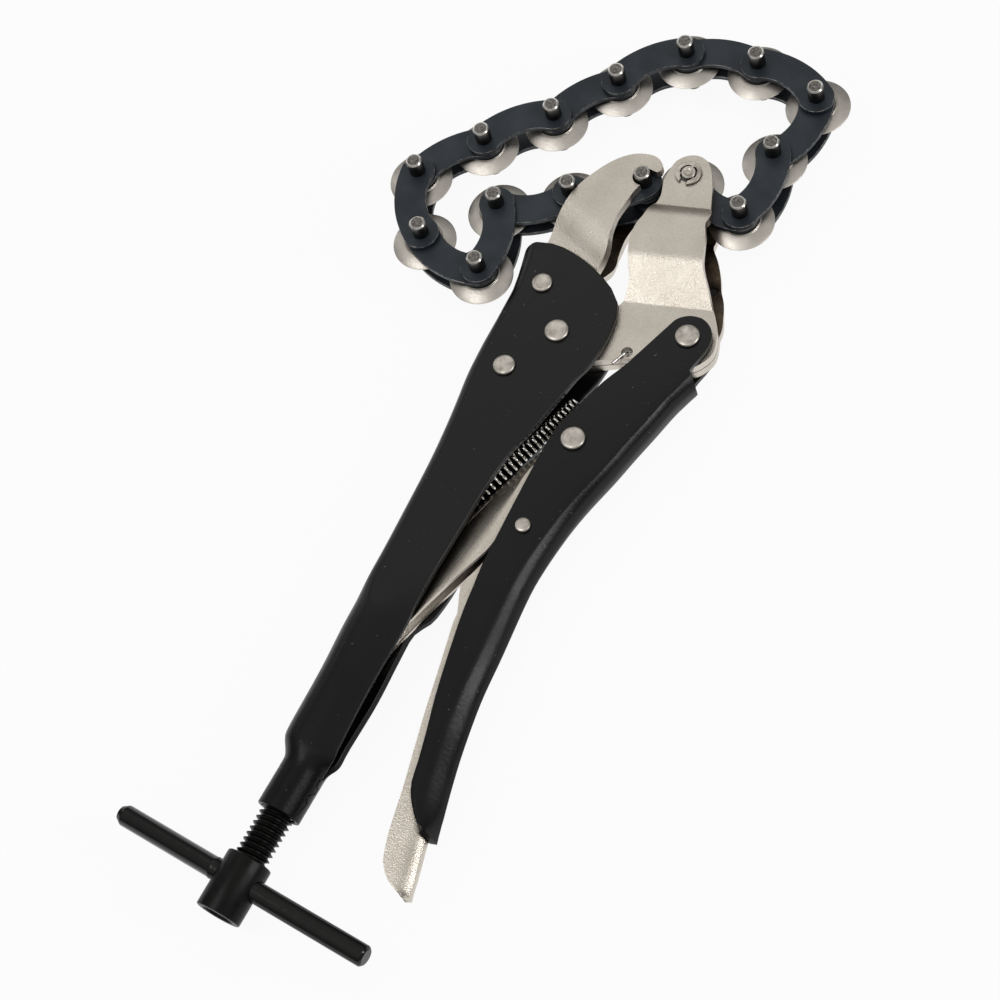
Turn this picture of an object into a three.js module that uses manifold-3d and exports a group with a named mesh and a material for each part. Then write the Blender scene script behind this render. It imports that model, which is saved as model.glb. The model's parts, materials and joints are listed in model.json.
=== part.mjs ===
// Chain cutter for exhaust pipes: locking pliers that pull a chain of cutting wheels round a pipe.
// Millimetres. The tool lies on its side: X to the right, Y along the adjusting screw towards the
// jaws, Z up. Each piece is drawn about the tool's middle plane (z = 0), with the screw's axis at
// x = 0, and the whole group is then shifted so that its origin is at the bottom centre of its box.
import * as THREE from 'three';
import { mergeVertices } from 'three/addons/utils/BufferGeometryUtils.js';
import Module from 'manifold-3d';

const wasm = await Module();
wasm.setup();

// Clearances
const clearance = 0.3;
const plateGap = 0.3;
const headGap = 0.2;
const cutOverrun = 2;

// Chain: pins, wheels and plates
const chainPitch = 21;
const wheelGap = 2.4;
const wheelDiameter = chainPitch - wheelGap;
const anchorPitch = wheelDiameter + clearance;
const pinDiameter = 4.6;
const pinLength = 20.7;
const pinChamfer = 0.4;
const bushingWall = 0.8;
const wheelHubDiameter = 10.8;
const wheelHubWidth = 3.6;
const linkThickness = 1.35;
const linkEndRadius = 5.05;
const linkBelly = 7.3;
const linkWaist = 1.8;

// Jaws: two joggled plates each
const jawThickness = 2.8;
const jawMiddleGap = 0.3;
const jawWidth = 14.4;
const anchorOffset = new THREE.Vector2(10.4, 57.9);
const earRadius = 6.3;
const hookSeatGap = 0.55;
const hookCrown = 7.06;
const pivotBoss = 7.8;
const fixedBendRoom = 1.5;
const fixedBendRun = 6.2;
const springHoleDiameter = 3.2;
const springHoleOffset = new THREE.Vector2(19.9, 2.9);
const hangHoleDiameter = 3;
const hangHoleOffset = new THREE.Vector2(30, 31.5);
const clipDiameter = 7;
const clipThickness = 0.45;
const clipMouth = 1.9;
const clipTurn = THREE.MathUtils.degToRad(-122);
const clipGrooveDepth = 0.75;
const anchorPinEnd = 0.45;

// Handle, a pressed channel rolled into a neck for the screw
const sheetThickness = 2;
const handleLength = 174.4;
const handleWidth = 36;
const headReachShare = 0.675;
const headReach = handleWidth * headReachShare;
const neckBottom = -53.1;
const screwReach = 42.4;
const neckDiameter = 12.1;
const neckSeam = 0.8;
const channelCorner = 3.2;
const tongueLength = 5.6;
const tongueWidth = 3.2;
const tongueThickness = 1.6;
const tongueReach = 30.4;

// Lever and release lever, pressed channels. The lever's length goes with the handle's.
const leverLengthShare = 0.8784;
const leverLength = handleLength * leverLengthShare;
const leverWidth = 22;
const leverCorner = 3.4;
const leverHeadRadius = 6.6;
const releaseThickness = 1.5;
const releaseCorner = 2;
const releaseSpineGap = 0.4;

// Toggle link
const toggleWidth = 12;
const toggleThickness = 1.7;
const toggleTipRadius = 3.5;
const toggleTipGap = 1.2;

// Lever pivot as seen from the jaw pivot
const leverOffset = new THREE.Vector2(33.7, 12.6);

// Rivets: head diameters, shank diameters and dome height
const pivotHead = 6.8;
const pivotShank = 5.2;
const upperHead = 5.8;
const lowerHead = 6.2;
const fixingShank = 4.4;
const releaseHead = 4.3;
const releaseShank = 2.8;
const domeHeight = 0.9;
const domeShare = 0.8;

// Adjusting screw and its T-handle
const screwDiameter = 9.2;
const hubDiameter = 12.4;
const hubLength = 16;
const hubGap = 13.7;
const hubSocket = 2.6;
const hubChamfer = 0.5;
const barDiameter = 5.8;
const barLength = 78.5;
const barOffset = 1;
const barDrop = 6.2;
const barTilt = THREE.MathUtils.degToRad(-2.6);
const barChamfer = 0.6;

// Spring. It starts beside the toggle's pivot.
const springWire = 0.8;
const springDiameter = 4.9;
const springPitch = 1.6;
const springOffset = new THREE.Vector2(-6.4, 11.7);

// Counts of facets
const pinSides = 10;
const bushingSides = 12;
const wheelSides = 18;
const rivetSides = 14;
const hubSides = 18;
const wireSides = 5;
const curlSteps = 8;
const linkArcSteps = 4;

// Levels through the depth of the tool, worked out from the stack of plates
const pinRadius = pinDiameter / 2;
const bushingBore = pinRadius + clearance;
const bushingRadius = bushingBore + bushingWall;
const wheelBore = bushingRadius + clearance;
const innerLinkLevel = wheelHubWidth / 2 + plateGap;
const outerLinkLevel = innerLinkLevel + linkThickness + plateGap;
const chainLevel = outerLinkLevel + linkThickness;
const jawBaseLevel = jawMiddleGap / 2;
const jawEarLevel = outerLinkLevel;
const jawHookLevel = chainLevel + clearance;
const channelInner = jawBaseLevel + jawThickness + clearance;
const channelOuter = channelInner + sheetThickness;
const screwRadius = screwDiameter / 2;
const swellInner = screwRadius + clearance;
const swellOuter = swellInner + sheetThickness;
const toggleHalf = channelInner - clearance;
const deepest = pinLength / 2 + cutOverrun;

// Pivots in the tool plane: the jaw pivot below the handle's top, the lever pivot from it, and the
// lever's own pivots and the handle's rivets as shares of the pressing that carries them
const togglePivotShares = [-0.6182, -0.2585];
const releasePivotShares = [-0.6091, -0.4399];
const upperRivetShares = [-0.3083, 0.3222];
const lowerRivetShares = [-0.225, -0.4194];

function placed(origin, [x, y], width, length) {
  return new THREE.Vector2(origin.x + x * width, origin.y + y * length);
}

const jawPivot = new THREE.Vector2(0, neckBottom + handleLength - headReach);
const leverPivot = new THREE.Vector2().addVectors(jawPivot, leverOffset);
const togglePivot = placed(leverPivot, togglePivotShares, leverWidth, leverLength);
const releasePivot = placed(leverPivot, releasePivotShares, leverWidth, leverLength);
const upperRivet = placed(jawPivot, upperRivetShares, handleWidth, handleWidth);
const lowerRivet = placed(jawPivot, lowerRivetShares, handleWidth, handleWidth);
const screwTip = neckBottom + screwReach;
const toggleTip = new THREE.Vector2(0, screwTip + toggleTipGap + toggleTipRadius);
const anchorPin = new THREE.Vector2().addVectors(jawPivot, anchorOffset);

// Materials
function metal(name, color, roughness, metalness) {
  const material = new THREE.MeshStandardMaterial({ color, roughness, metalness });
  material.name = name;
  return material;
}

const materials = {
  nickel: () => metal('satin nickel', 0xc3bcb2, 0.38, 0.9),
  wheel: () => metal('bright nickel', 0xcfc8bd, 0.22, 0.95),
  blued: () => metal('blued steel', 0x23282d, 0.42, 0.75),
  paint: () => metal('black paint', 0x1c1c1d, 0.4, 0.1),
  screw: () => metal('black oxide steel', 0x171616, 0.3, 0.6),
  wire: () => metal('spring wire', 0xb9b2a8, 0.25, 0.95),
};

// Turning a geometry into a closed body, and booleans on such bodies
function closedBody(geometry) {
  const bare = new THREE.BufferGeometry();
  bare.setAttribute('position', geometry.getAttribute('position').clone());
  if (geometry.index) bare.setIndex(geometry.index.clone());
  const merged = mergeVertices(bare, 1e-5);
  const kept = [];
  const index = merged.index.array;
  for (let i = 0; i < index.length; i += 3) {
    const [a, b, c] = [index[i], index[i + 1], index[i + 2]];
    if (a !== b && b !== c && c !== a) kept.push(a, b, c);
  }
  merged.setIndex(kept);
  return merged;
}

function toManifold(geometry) {
  const body = closedBody(geometry);
  const mesh = new wasm.Mesh({
    numProp: 3,
    vertProperties: new Float32Array(body.attributes.position.array),
    triVerts: new Uint32Array(body.index.array),
  });
  return new wasm.Manifold(mesh);
}

function fromManifold(manifold) {
  const mesh = manifold.getMesh();
  const geometry = new THREE.BufferGeometry();
  geometry.setAttribute('position', new THREE.BufferAttribute(new Float32Array(mesh.vertProperties), 3));
  geometry.setIndex(new THREE.BufferAttribute(new Uint32Array(mesh.triVerts), 1));
  return geometry;
}

function join(...geometries) {
  return fromManifold(geometries.map(toManifold).reduce((sum, next) => sum.add(next)));
}

function cut(geometry, ...tools) {
  return fromManifold(tools.map(toManifold).reduce((rest, tool) => rest.subtract(tool), toManifold(geometry)));
}

function common(geometry, other) {
  return fromManifold(toManifold(geometry).intersect(toManifold(other)));
}

// Simple shapes
function prism(points, bottom, top) {
  const depth = top - bottom;
  const geometry = new THREE.ExtrudeGeometry(new THREE.Shape(points), { depth, bevelEnabled: false });
  return geometry.translate(0, 0, bottom);
}

function upright(place, radius, bottom, top, sides) {
  const geometry = new THREE.CylinderGeometry(radius, radius, top - bottom, sides);
  geometry.rotateX(Math.PI / 2);
  return geometry.translate(place.x, place.y, (top + bottom) / 2);
}

// A profile of radius and height, revolved about the upright axis through a place
function turned(profile, place, sides) {
  const geometry = new THREE.LatheGeometry(profile.map(([r, z]) => new THREE.Vector2(r, z)), sides);
  geometry.rotateX(Math.PI / 2);
  return geometry.translate(place.x, place.y, 0);
}

function arc(centre, radius, from, to, steps) {
  const points = [];
  for (let i = 0; i <= steps; i += 1) {
    const angle = from + ((to - from) * i) / steps;
    points.push(new THREE.Vector2(centre.x + radius * Math.cos(angle), centre.y + radius * Math.sin(angle)));
  }
  return points;
}

// Points given as shares of a size, from an origin
function sharedPoints(shares, size, origin) {
  return shares.map(([x, y]) => new THREE.Vector2(origin.x + x * size, origin.y + y * size));
}

function smooth(points, steps) {
  return new THREE.SplineCurve(points).getPoints(steps);
}

// A value read off a table of rows that start with a place, linear between rows
function along(rows, place, column) {
  const last = rows.length - 1;
  if (place <= rows[0][0]) return rows[0][column];
  for (let i = 1; i <= last; i += 1) {
    if (place <= rows[i][0]) {
      const t = (place - rows[i - 1][0]) / (rows[i][0] - rows[i - 1][0]);
      return rows[i - 1][column] + t * (rows[i][column] - rows[i - 1][column]);
    }
  }
  return rows[last][column];
}

// A closed skin over rings of equal count, with flat ends
function loft(rings) {
  const count = rings[0].length;
  const positions = rings.flat().flatMap((p) => [p.x, p.y, p.z]);
  const index = [];
  for (let i = 0; i < rings.length - 1; i += 1) {
    for (let j = 0; j < count; j += 1) {
      const k = (j + 1) % count;
      const [a, b, c, d] = [i * count + j, i * count + k, (i + 1) * count + j, (i + 1) * count + k];
      index.push(a, b, c, b, d, c);
    }
  }
  const caps = [0, rings.length - 1];
  for (const ring of caps) {
    const flat = rings[ring].map((p) => new THREE.Vector2(p.x, p.z));
    const clockwise = THREE.ShapeUtils.isClockWise(flat);
    for (const [a, b, c] of THREE.ShapeUtils.triangulateShape(flat, [])) {
      const base = ring * count;
      if ((ring === 0) === clockwise) index.push(base + a, base + b, base + c);
      else index.push(base + a, base + c, base + b);
    }
  }
  const geometry = new THREE.BufferGeometry();
  geometry.setAttribute('position', new THREE.Float32BufferAttribute(positions, 3));
  geometry.setIndex(index);
  return outward(geometry);
}

// Flips a closed skin whose faces point inwards
function outward(geometry) {
  const p = geometry.getAttribute('position');
  const index = Array.from(geometry.index.array);
  let volume = 0;
  const [a, b, c] = [new THREE.Vector3(), new THREE.Vector3(), new THREE.Vector3()];
  for (let i = 0; i < index.length; i += 3) {
    a.fromBufferAttribute(p, index[i]);
    b.fromBufferAttribute(p, index[i + 1]);
    c.fromBufferAttribute(p, index[i + 2]);
    volume += a.dot(b.cross(c));
  }
  if (volume < 0) {
    for (let i = 0; i < index.length; i += 3) [index[i + 1], index[i + 2]] = [index[i + 2], index[i + 1]];
    geometry.setIndex(index);
  }
  return geometry;
}

// Section of a folded channel in the X-Z plane, from the front flange's edge round the spine to the
// rear flange's edge and back inside. side is -1 for a spine on the left and 1 for one on the right.
function channelSection({ y, spine, frontEdge, rearEdge, half, edgeHalf, corner, wall, side }) {
  const path = (inset) => {
    const face = spine - side * inset;
    const radius = Math.max(corner - inset, wall / 4);
    const level = half - inset;
    const edgeLevel = edgeHalf - inset;
    const centre = face - side * radius;
    const points = [];
    const flange = (edge, sign) => {
      const middle = centre + (edge - centre) / 2;
      return [[edge, sign * edgeLevel], [middle, sign * (level - (level - edgeLevel) / 16)]];
    };
    const bend = (sign) => [0, 1, 2, 3].map((i) => {
      const angle = (i * Math.PI) / 6;
      return [centre + side * radius * Math.sin(angle), sign * (level - radius + radius * Math.cos(angle))];
    });
    points.push(...flange(frontEdge, 1), ...bend(1), ...bend(-1).reverse(), ...flange(rearEdge, -1).reverse());
    return points;
  };
  return [...path(0), ...path(wall).reverse()].map(([x, z]) => new THREE.Vector3(x, y, z));
}

// Section of the rolled neck with the same count of points as a channel's section
function neckSection(y, count) {
  const half = count / 2;
  const slot = Math.asin(neckSeam / neckDiameter);
  const ring = (radius) => {
    const points = [];
    for (let i = 0; i < half; i += 1) {
      const angle = slot + ((2 * Math.PI - 2 * slot) * i) / (half - 1);
      points.push(new THREE.Vector3(radius * Math.cos(angle), y, radius * Math.sin(angle)));
    }
    return points;
  };
  return [...ring(neckDiameter / 2), ...ring(screwRadius + clearance).reverse()];
}

// Handle. Rows: height, spine, front edge and rear edge, then how far the section has swelled to
// clear the screw and how far it has closed into the neck. Heights from 0 to 1 are shares of the
// screw's run in the handle, and from 1 to 2 shares of the way from there to the top. The rest are
// shares of the handle's width.
const handleShares = [
  [0.000, -0.168, 0.168, 0.168, 1, 1],
  [0.214, -0.168, 0.168, 0.168, 1, 1],
  [0.296, -0.205, 0.160, 0.160, 1, 0.45],
  [0.370, -0.246, 0.190, 0.190, 1, 0],
  [0.514, -0.261, 0.181, 0.186, 1, 0],
  [0.884, -0.275, 0.178, 0.180, 1, 0],
  [1.062, -0.303, 0.172, 0.158, 1, 0],
  [1.122, -0.311, 0.170, 0.152, 0.85, 0],
  [1.157, -0.317, 0.155, 0.215, 0.35, 0],
  [1.188, -0.322, 0.148, 0.238, 0, 0],
  [1.247, -0.330, 0.142, 0.252, 0, 0],
  [1.339, -0.350, 0.146, 0.230, 0, 0],
  [1.445, -0.375, 0.150, 0.186, 0, 0],
  [1.531, -0.410, 0.176, 0.212, 0, 0],
  [1.591, -0.442, 0.232, 0.268, 0, 0],
  [1.663, -0.485, 0.285, 0.322, 0, 0],
  [1.736, -0.506, 0.332, 0.368, 0, 0],
  [1.802, -0.514, 0.384, 0.400, 0, 0],
  [1.868, -0.525, 0.400, 0.400, 0, 0],
  [1.947, -0.585, 0.400, 0.400, 0, 0],
  [1.980, -0.605, 0.400, 0.400, 0, 0],
  [2.013, -0.600, 0.400, 0.400, 0, 0],
];

function handleHeight(share) {
  const headLength = handleLength - screwReach;
  return neckBottom + Math.min(share, 1) * screwReach + Math.max(share - 1, 0) * headLength;
}

// X of the handle's spine at a height, on its outside
const spineRows = handleShares.map(([height, spine]) => [handleHeight(height), spine * handleWidth]);

function spineAt(y) {
  return along(spineRows, y, 1);
}

// Top outline of the handle's head, as shares of the handle's width from the jaw pivot
const headShares = [
  [0.372, -0.190], [0.389, 0.000], [0.358, 0.292], [0.208, 0.494], [-0.056, 0.619],
  [-0.328, 0.675], [-0.556, 0.628], [-0.620, 0.540],
];

// Tongue in the spine that holds the spring's lower end
const tongueSeat = screwTip + tongueReach;
const tongueRoot = spineAt(tongueSeat) + sheetThickness / 2;

function handleShell() {
  const rings = handleShares.map(([height, spine, front, rear, swell, closing]) => {
    const y = handleHeight(height);
    const channel = channelSection({
      y,
      spine: spine * handleWidth,
      frontEdge: front * handleWidth,
      rearEdge: rear * handleWidth,
      half: channelOuter + swell * (swellOuter - channelOuter),
      edgeHalf: channelOuter,
      corner: channelCorner + swell * (swellOuter - channelCorner - clearance),
      wall: sheetThickness,
      side: -1,
    });
    const neck = neckSection(y, channel.length);
    return channel.map((p, i) => p.lerp(neck[i], closing));
  });
  const width = handleWidth;
  const top = smooth(sharedPoints(headShares, width, jawPivot), 20);
  const low = neckBottom - cutOverrun;
  const outline = [
    new THREE.Vector2(width, low),
    new THREE.Vector2(width, top[0].y),
    ...top,
    new THREE.Vector2(-width, top[top.length - 1].y),
    new THREE.Vector2(-width, low),
  ];
  const tongue = new THREE.BoxGeometry(tongueLength, tongueThickness, tongueWidth);
  tongue.translate(tongueRoot + tongueLength / 2, tongueSeat - tongueThickness / 2, 0);
  const shell = join(common(loft(rings), prism(outline, -deepest, deepest)), tongue);
  const bores = [
    [jawPivot, pivotShank],
    [upperRivet, fixingShank],
    [lowerRivet, fixingShank],
  ].map(([place, shank]) => upright(place, shank / 2 + clearance, -deepest, deepest, rivetSides));
  const bore = lengthwiseRod(screwRadius + clearance, low, screwTip, 0, hubSides);
  return cut(shell, bore, ...bores);
}

// Headings of the chain's links as the tool lies, in degrees from +X
const linkHeadings = [
  -14.96, 91.34, 81.74, 168.3, 190.95, 228.78, 235.97, 225.14, 232.83, 303.36, 350.86, 465.31,
  393.27, 389.67,
];

// Pin centres of the chain, walked from the anchor pin. The hook's seat is made round the last one.
function chainPins() {
  const pins = [anchorPin.clone()];
  linkHeadings.forEach((heading, i) => {
    const angle = THREE.MathUtils.degToRad(heading);
    const pitch = i === 0 ? anchorPitch : chainPitch;
    const last = pins[pins.length - 1];
    pins.push(new THREE.Vector2(last.x + pitch * Math.cos(angle), last.y + pitch * Math.sin(angle)));
  });
  return pins;
}

const pins = chainPins();
const hookPin = pins[pins.length - 1];

// Jaw plates. A plate's level follows its distance along the jaw, so it is a bent strip cut to an
// outline. steps holds [distance, level] pairs, angle is the turn of the bend lines.
function joggledPlate(outline, steps, angle, origin, side) {
  const lower = steps.map(([s, z]) => new THREE.Vector2(s, side * z));
  const upper = steps.map(([s, z]) => new THREE.Vector2(s, side * (z + jawThickness))).reverse();
  const reach = handleLength;
  const strip = new THREE.ExtrudeGeometry(new THREE.Shape([...lower, ...upper]), {
    depth: 2 * reach,
    bevelEnabled: false,
  });
  strip.translate(0, 0, -reach);
  const lengthwise = new THREE.Vector3(-Math.sin(angle), Math.cos(angle), 0);
  const outwards = new THREE.Vector3(0, 0, 1);
  const across = new THREE.Vector3().crossVectors(lengthwise, outwards);
  strip.applyMatrix4(new THREE.Matrix4().makeBasis(lengthwise, outwards, across));
  strip.translate(origin.x, origin.y, 0);
  return common(strip, prism(outline, -deepest, deepest));
}

// Points along a line between two places: how far along it as a share, then how far to its left
// as a share of the jaw's width
function between(from, to, shares) {
  const line = new THREE.Vector2().subVectors(to, from);
  const left = new THREE.Vector2(-line.y, line.x).normalize();
  return shares.map(([t, offset]) =>
    from.clone().addScaledVector(line, t).addScaledVector(left, offset * jawWidth));
}

function bored(plate, holes) {
  return cut(plate, ...holes.map(([place, radius]) => upright(place, radius, -deepest, deepest, rivetSides)));
}

// Fixed jaw outline: the hook's head round the chain's last pin, the back down to the handle, the
// base along the handle's spine, and the front from the pivot up to the pin's seat
const hookHeadShares = [
  [0.443, 0.377], [0.559, 0.526], [0.476, 0.792], [0.160, 0.983], [-0.205, 1.000], [-0.728, 0.834],
  [-1.168, 0.502], [-1.550, 0.037], [-1.823, -0.461],
];
const hookBackShares = [
  [0.134, -1.021], [0.219, -1.110], [0.329, -1.155], [0.451, -1.159], [0.542, -1.204],
];
const jawBaseShares = [0.700, 0.350, -0.145, -0.579, -0.833];
const jawBottomShares = [[-0.260, -0.619], [-0.098, -0.570]];
const hookFrontShares = [
  [0.285, 0.193], [0.409, -0.016], [0.511, -0.052], [0.563, -0.021], [0.637, 0.025], [0.733, 0.050],
  [0.819, 0.026], [0.898, -0.001],
];

function fixedJawPlate(side) {
  const base = jawBaseShares.map((share) => {
    const y = jawPivot.y + share * headReach;
    const wall = spineAt(y) + sheetThickness;
    return new THREE.Vector2(wall + clearance + (channelCorner - sheetThickness) / 2, y);
  });
  const outline = [
    ...sharedPoints(hookHeadShares, hookCrown, hookPin),
    ...between(hookPin, jawPivot, hookBackShares),
    ...base,
    ...sharedPoints(jawBottomShares, handleWidth, jawPivot),
    ...arc(jawPivot, pivotBoss + clearance, -Math.PI * 0.62, -Math.PI * 1.42, 10),
    ...between(jawPivot, hookPin, hookFrontShares),
    ...arc(hookPin, pinRadius + hookSeatGap, -Math.PI * 0.42, -Math.PI * 1.5, 8),
  ];
  const bend = headReach + fixedBendRoom;
  const steps = [
    [-handleLength, jawBaseLevel],
    [bend, jawBaseLevel],
    [bend + fixedBendRun, jawHookLevel],
    [handleLength, jawHookLevel],
  ];
  const fixing = fixingShank / 2 + clearance;
  return bored(joggledPlate(outline, steps, 0, jawPivot, side), [[upperRivet, fixing], [lowerRivet, fixing]]);
}

// Movable jaw outline: from below the jaw pivot round the lever pivot, up the outer side, over the
// ear round the anchor pin, down the inner side and round the boss at the jaw pivot
const jawFootShares = [[0.154, -0.563], [0.305, -0.509], [0.526, -0.434], [0.734, -0.439], [0.908, -0.553]];
const leverBossShares = [
  [0.536, -0.940], [0.881, -0.504], [0.997, -0.052], [0.832, 0.541], [0.552, 1.018], [0.248, 1.405],
];
const jawOuterShares = [[0.307, -0.383], [0.414, -0.308], [0.511, -0.324], [0.595, -0.347], [0.659, -0.347]];
const earShares = [
  [2.018, -1.751], [1.855, -1.486], [1.681, -1.079], [1.274, -0.202], [0.795, 0.592], [0.438, 0.918],
  [-0.051, 1.000], [-0.479, 0.827], [-0.795, 0.460], [-0.887, -0.019], [-0.876, -0.702],
];
const jawInnerShares = [
  [0.164, -0.160], [0.229, -0.122], [0.305, -0.116], [0.359, -0.113], [0.417, -0.052], [0.468, 0.053],
  [0.527, 0.233], [0.582, 0.418], [0.695, 0.574], [0.740, 0.489], [0.810, 0.291],
];
const movableBendShares = [0.211, 0.410, 0.639, 0.693];
const movableJawTurn = THREE.MathUtils.degToRad(16);
const springHole = new THREE.Vector2().addVectors(jawPivot, springHoleOffset);
const hangHole = new THREE.Vector2().addVectors(jawPivot, hangHoleOffset);

function movableJawPlate(side) {
  const outline = [
    ...between(jawPivot, leverPivot, jawFootShares),
    ...sharedPoints(leverBossShares, pivotBoss, leverPivot),
    ...between(leverPivot, anchorPin, jawOuterShares),
    ...sharedPoints(earShares, earRadius, anchorPin),
    ...between(anchorPin, jawPivot, jawInnerShares),
    ...arc(jawPivot, pivotBoss, Math.PI * 0.42, Math.PI * 1.7, 14),
  ];
  const reach = anchorPin.distanceTo(jawPivot);
  const [rise, bulge, fall, ear] = movableBendShares.map((share) => share * reach);
  const steps = [
    [-handleLength, jawBaseLevel],
    [rise, jawBaseLevel],
    [bulge, jawHookLevel],
    [fall, jawHookLevel],
    [ear, jawEarLevel],
    [handleLength, jawEarLevel],
  ];
  const pivot = pivotShank / 2 + clearance;
  return bored(joggledPlate(outline, steps, movableJawTurn, jawPivot, side), [
    [jawPivot, pivot],
    [leverPivot, pivot],
    [anchorPin, pinRadius + clearance],
    [springHole, springHoleDiameter / 2],
    [hangHole, hangHoleDiameter / 2],
  ]);
}

// Rivet with two low domed heads
function rivet(place, head, shank, seat) {
  const [r, s] = [head / 2, shank / 2];
  const rim = seat + headGap;
  const half = [[s, rim], [r, rim], [r * domeShare, rim + domeHeight * domeShare]];
  const top = rim + domeHeight;
  const lower = half.map(([radius, z]) => [radius, -z]).reverse();
  return turned([[0, -top], ...lower, ...half, [0, top]], place, rivetSides);
}

// Lever. Rows: height and spine as shares of the lever's length and width, from the lever pivot.
const leverBlankShare = 1.3;
const leverShares = [
  [0.060, 0.600], [-0.062, 0.560], [-0.076, 0.355], [-0.100, 0.300], [-0.128, 0.260], [-0.180, 0.186],
  [-0.232, 0.105], [-0.285, 0.032], [-0.340, -0.059], [-0.390, -0.123], [-0.437, -0.159],
  [-0.480, -0.180], [-0.520, -0.186], [-0.565, -0.164], [-0.657, -0.095], [-0.729, -0.050],
  [-0.781, 0.005], [-0.853, 0.105], [-0.944, 0.268], [-1.010, 0.395],
];
// Flange outline down the open side and across the end, then up the notch behind the head
const leverEdgeShares = [
  [-0.500, -0.0816], [-0.667, -0.1384], [-0.786, -0.194], [-0.877, -0.240], [-0.902, -0.292],
  [-0.875, -0.390], [-0.836, -0.490], [-0.822, -0.528], [-0.777, -0.573], [-0.709, -0.636],
  [-0.518, -0.757], [-0.359, -0.836], [-0.268, -0.884], [-0.132, -0.942], [-0.075, -0.957],
  [0.225, -0.985],
];
const leverNotchShares = [
  [0.800, -0.9950], [0.800, -0.0825], [0.375, -0.0785], [0.262, -0.0645], [0.245, -0.0405],
];

function leverRings(shares, options) {
  return shares.map(([height, spine]) => channelSection({
    y: leverPivot.y + height * leverLength,
    spine: leverPivot.x + spine * leverWidth - options.inset,
    frontEdge: leverPivot.x - leverWidth * leverBlankShare,
    rearEdge: leverPivot.x - leverWidth * leverBlankShare,
    half: options.half,
    edgeHalf: options.half,
    corner: options.corner,
    wall: options.wall,
    side: 1,
  }));
}

// Points whose X follows the lever's width and Y its length
function leverPoints(shares) {
  return shares.map(([x, y]) => new THREE.Vector2(
    leverPivot.x + x * leverWidth,
    leverPivot.y + y * leverLength,
  ));
}

function leverShell() {
  const rings = leverRings(leverShares, {
    inset: 0,
    half: channelOuter,
    corner: leverCorner,
    wall: sheetThickness,
  });
  const head = arc(leverPivot, leverHeadRadius, -Math.PI * 0.08, Math.PI * 0.84, 10);
  const outline = [...head, ...leverPoints(leverEdgeShares), ...leverPoints(leverNotchShares)];
  const shell = common(loft(rings), prism(outline, -deepest, deepest));
  return cut(
    shell,
    upright(leverPivot, pivotShank / 2 + clearance, -deepest, deepest, rivetSides),
    upright(togglePivot, pivotShank / 2 + clearance, -deepest, deepest, rivetSides),
    upright(releasePivot, releaseShank / 2 + clearance, -deepest, deepest, rivetSides),
  );
}

// Release lever, nested in the lever: its spine runs inside the lever's spine
const releaseTopShare = -0.408;
const releaseEdgeShares = [
  [-0.855, -0.5220], [-0.950, -0.5730], [-0.922, -0.5910], [-0.815, -0.6240], [-0.800, -0.6430],
  [-0.668, -0.7210], [-0.545, -0.7980], [-0.386, -0.8860], [-0.295, -0.9350], [-0.172, -1.0120],
  [-0.059, -1.0570], [0.118, -1.0810], [0.350, -1.0915],
];
const releaseShares = [
  [-0.400, -0.135], [-0.437, -0.159], [-0.480, -0.180], [-0.520, -0.186], [-0.565, -0.164],
  [-0.657, -0.095], [-0.729, -0.050], [-0.781, 0.005], [-0.853, 0.105], [-0.944, 0.268],
  [-1.010, 0.395], [-1.100, 0.570],
];

function releaseLever() {
  const rings = leverRings(releaseShares, {
    inset: sheetThickness + releaseSpineGap,
    half: toggleHalf,
    corner: releaseCorner,
    wall: releaseThickness,
  });
  const nose = releasePivot.clone();
  const noseRadius = releaseHead / 2 + releaseThickness / 2;
  const outline = [
    ...arc(nose, noseRadius, Math.PI / 2, Math.PI, 4),
    ...leverPoints(releaseEdgeShares),
    new THREE.Vector2(leverPivot.x + leverWidth, leverPivot.y - leverLength * 1.0915),
    new THREE.Vector2(leverPivot.x + leverWidth, leverPivot.y + leverLength * releaseTopShare),
  ];
  const shell = common(loft(rings), prism(outline, -deepest, deepest));
  return cut(shell, upright(releasePivot, releaseShank / 2 + clearance, -deepest, deepest, rivetSides));
}

// Toggle link: a rounded channel from its pivot to the screw's tip. Rows: height as a share of the
// pivot distance, spine and flange edge as shares of its width from the centre line.
const toggleCornerShare = 0.9;
const toggleNoseShare = -0.05;
const toggleShares = [
  [-0.060, -0.300, 0.200], [-0.030, -0.300, 0.200], [0.120, -0.340, 0.190], [0.250, -0.440, 0.170],
  [0.365, -0.490, 0.150], [0.450, -0.500, 0.220], [0.528, -0.500, 0.355], [0.585, -0.500, 0.250],
  [0.715, -0.500, 0.250], [0.860, -0.500, 0.440], [1.000, -0.500, 0.510], [1.100, -0.500, 0.510],
];

function toggleLink() {
  const span = new THREE.Vector2().subVectors(togglePivot, toggleTip);
  const length = span.length();
  const rings = toggleShares.map(([height, spine, edge]) => channelSection({
    y: height * length,
    spine: spine * toggleWidth,
    frontEdge: edge * toggleWidth,
    rearEdge: edge * toggleWidth,
    half: toggleHalf,
    edgeHalf: toggleHalf,
    corner: toggleHalf * toggleCornerShare,
    wall: toggleThickness,
    side: -1,
  }));
  const radius = toggleWidth / 2;
  const end = new THREE.Vector2(0, length);
  const nose = new THREE.Vector2(toggleWidth * toggleNoseShare, 0);
  const outline = [
    ...arc(end, radius, 0, Math.PI, 10),
    ...arc(nose, toggleTipRadius, Math.PI, 2 * Math.PI, 8),
    new THREE.Vector2(radius, length / 2),
  ];
  const link = common(loft(rings), prism(outline, -deepest, deepest));
  const bored = cut(link, upright(end, pivotShank / 2 + clearance, -deepest, deepest, rivetSides));
  bored.rotateZ(-Math.atan2(span.x, span.y));
  return bored.translate(toggleTip.x, toggleTip.y, 0);
}

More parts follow.
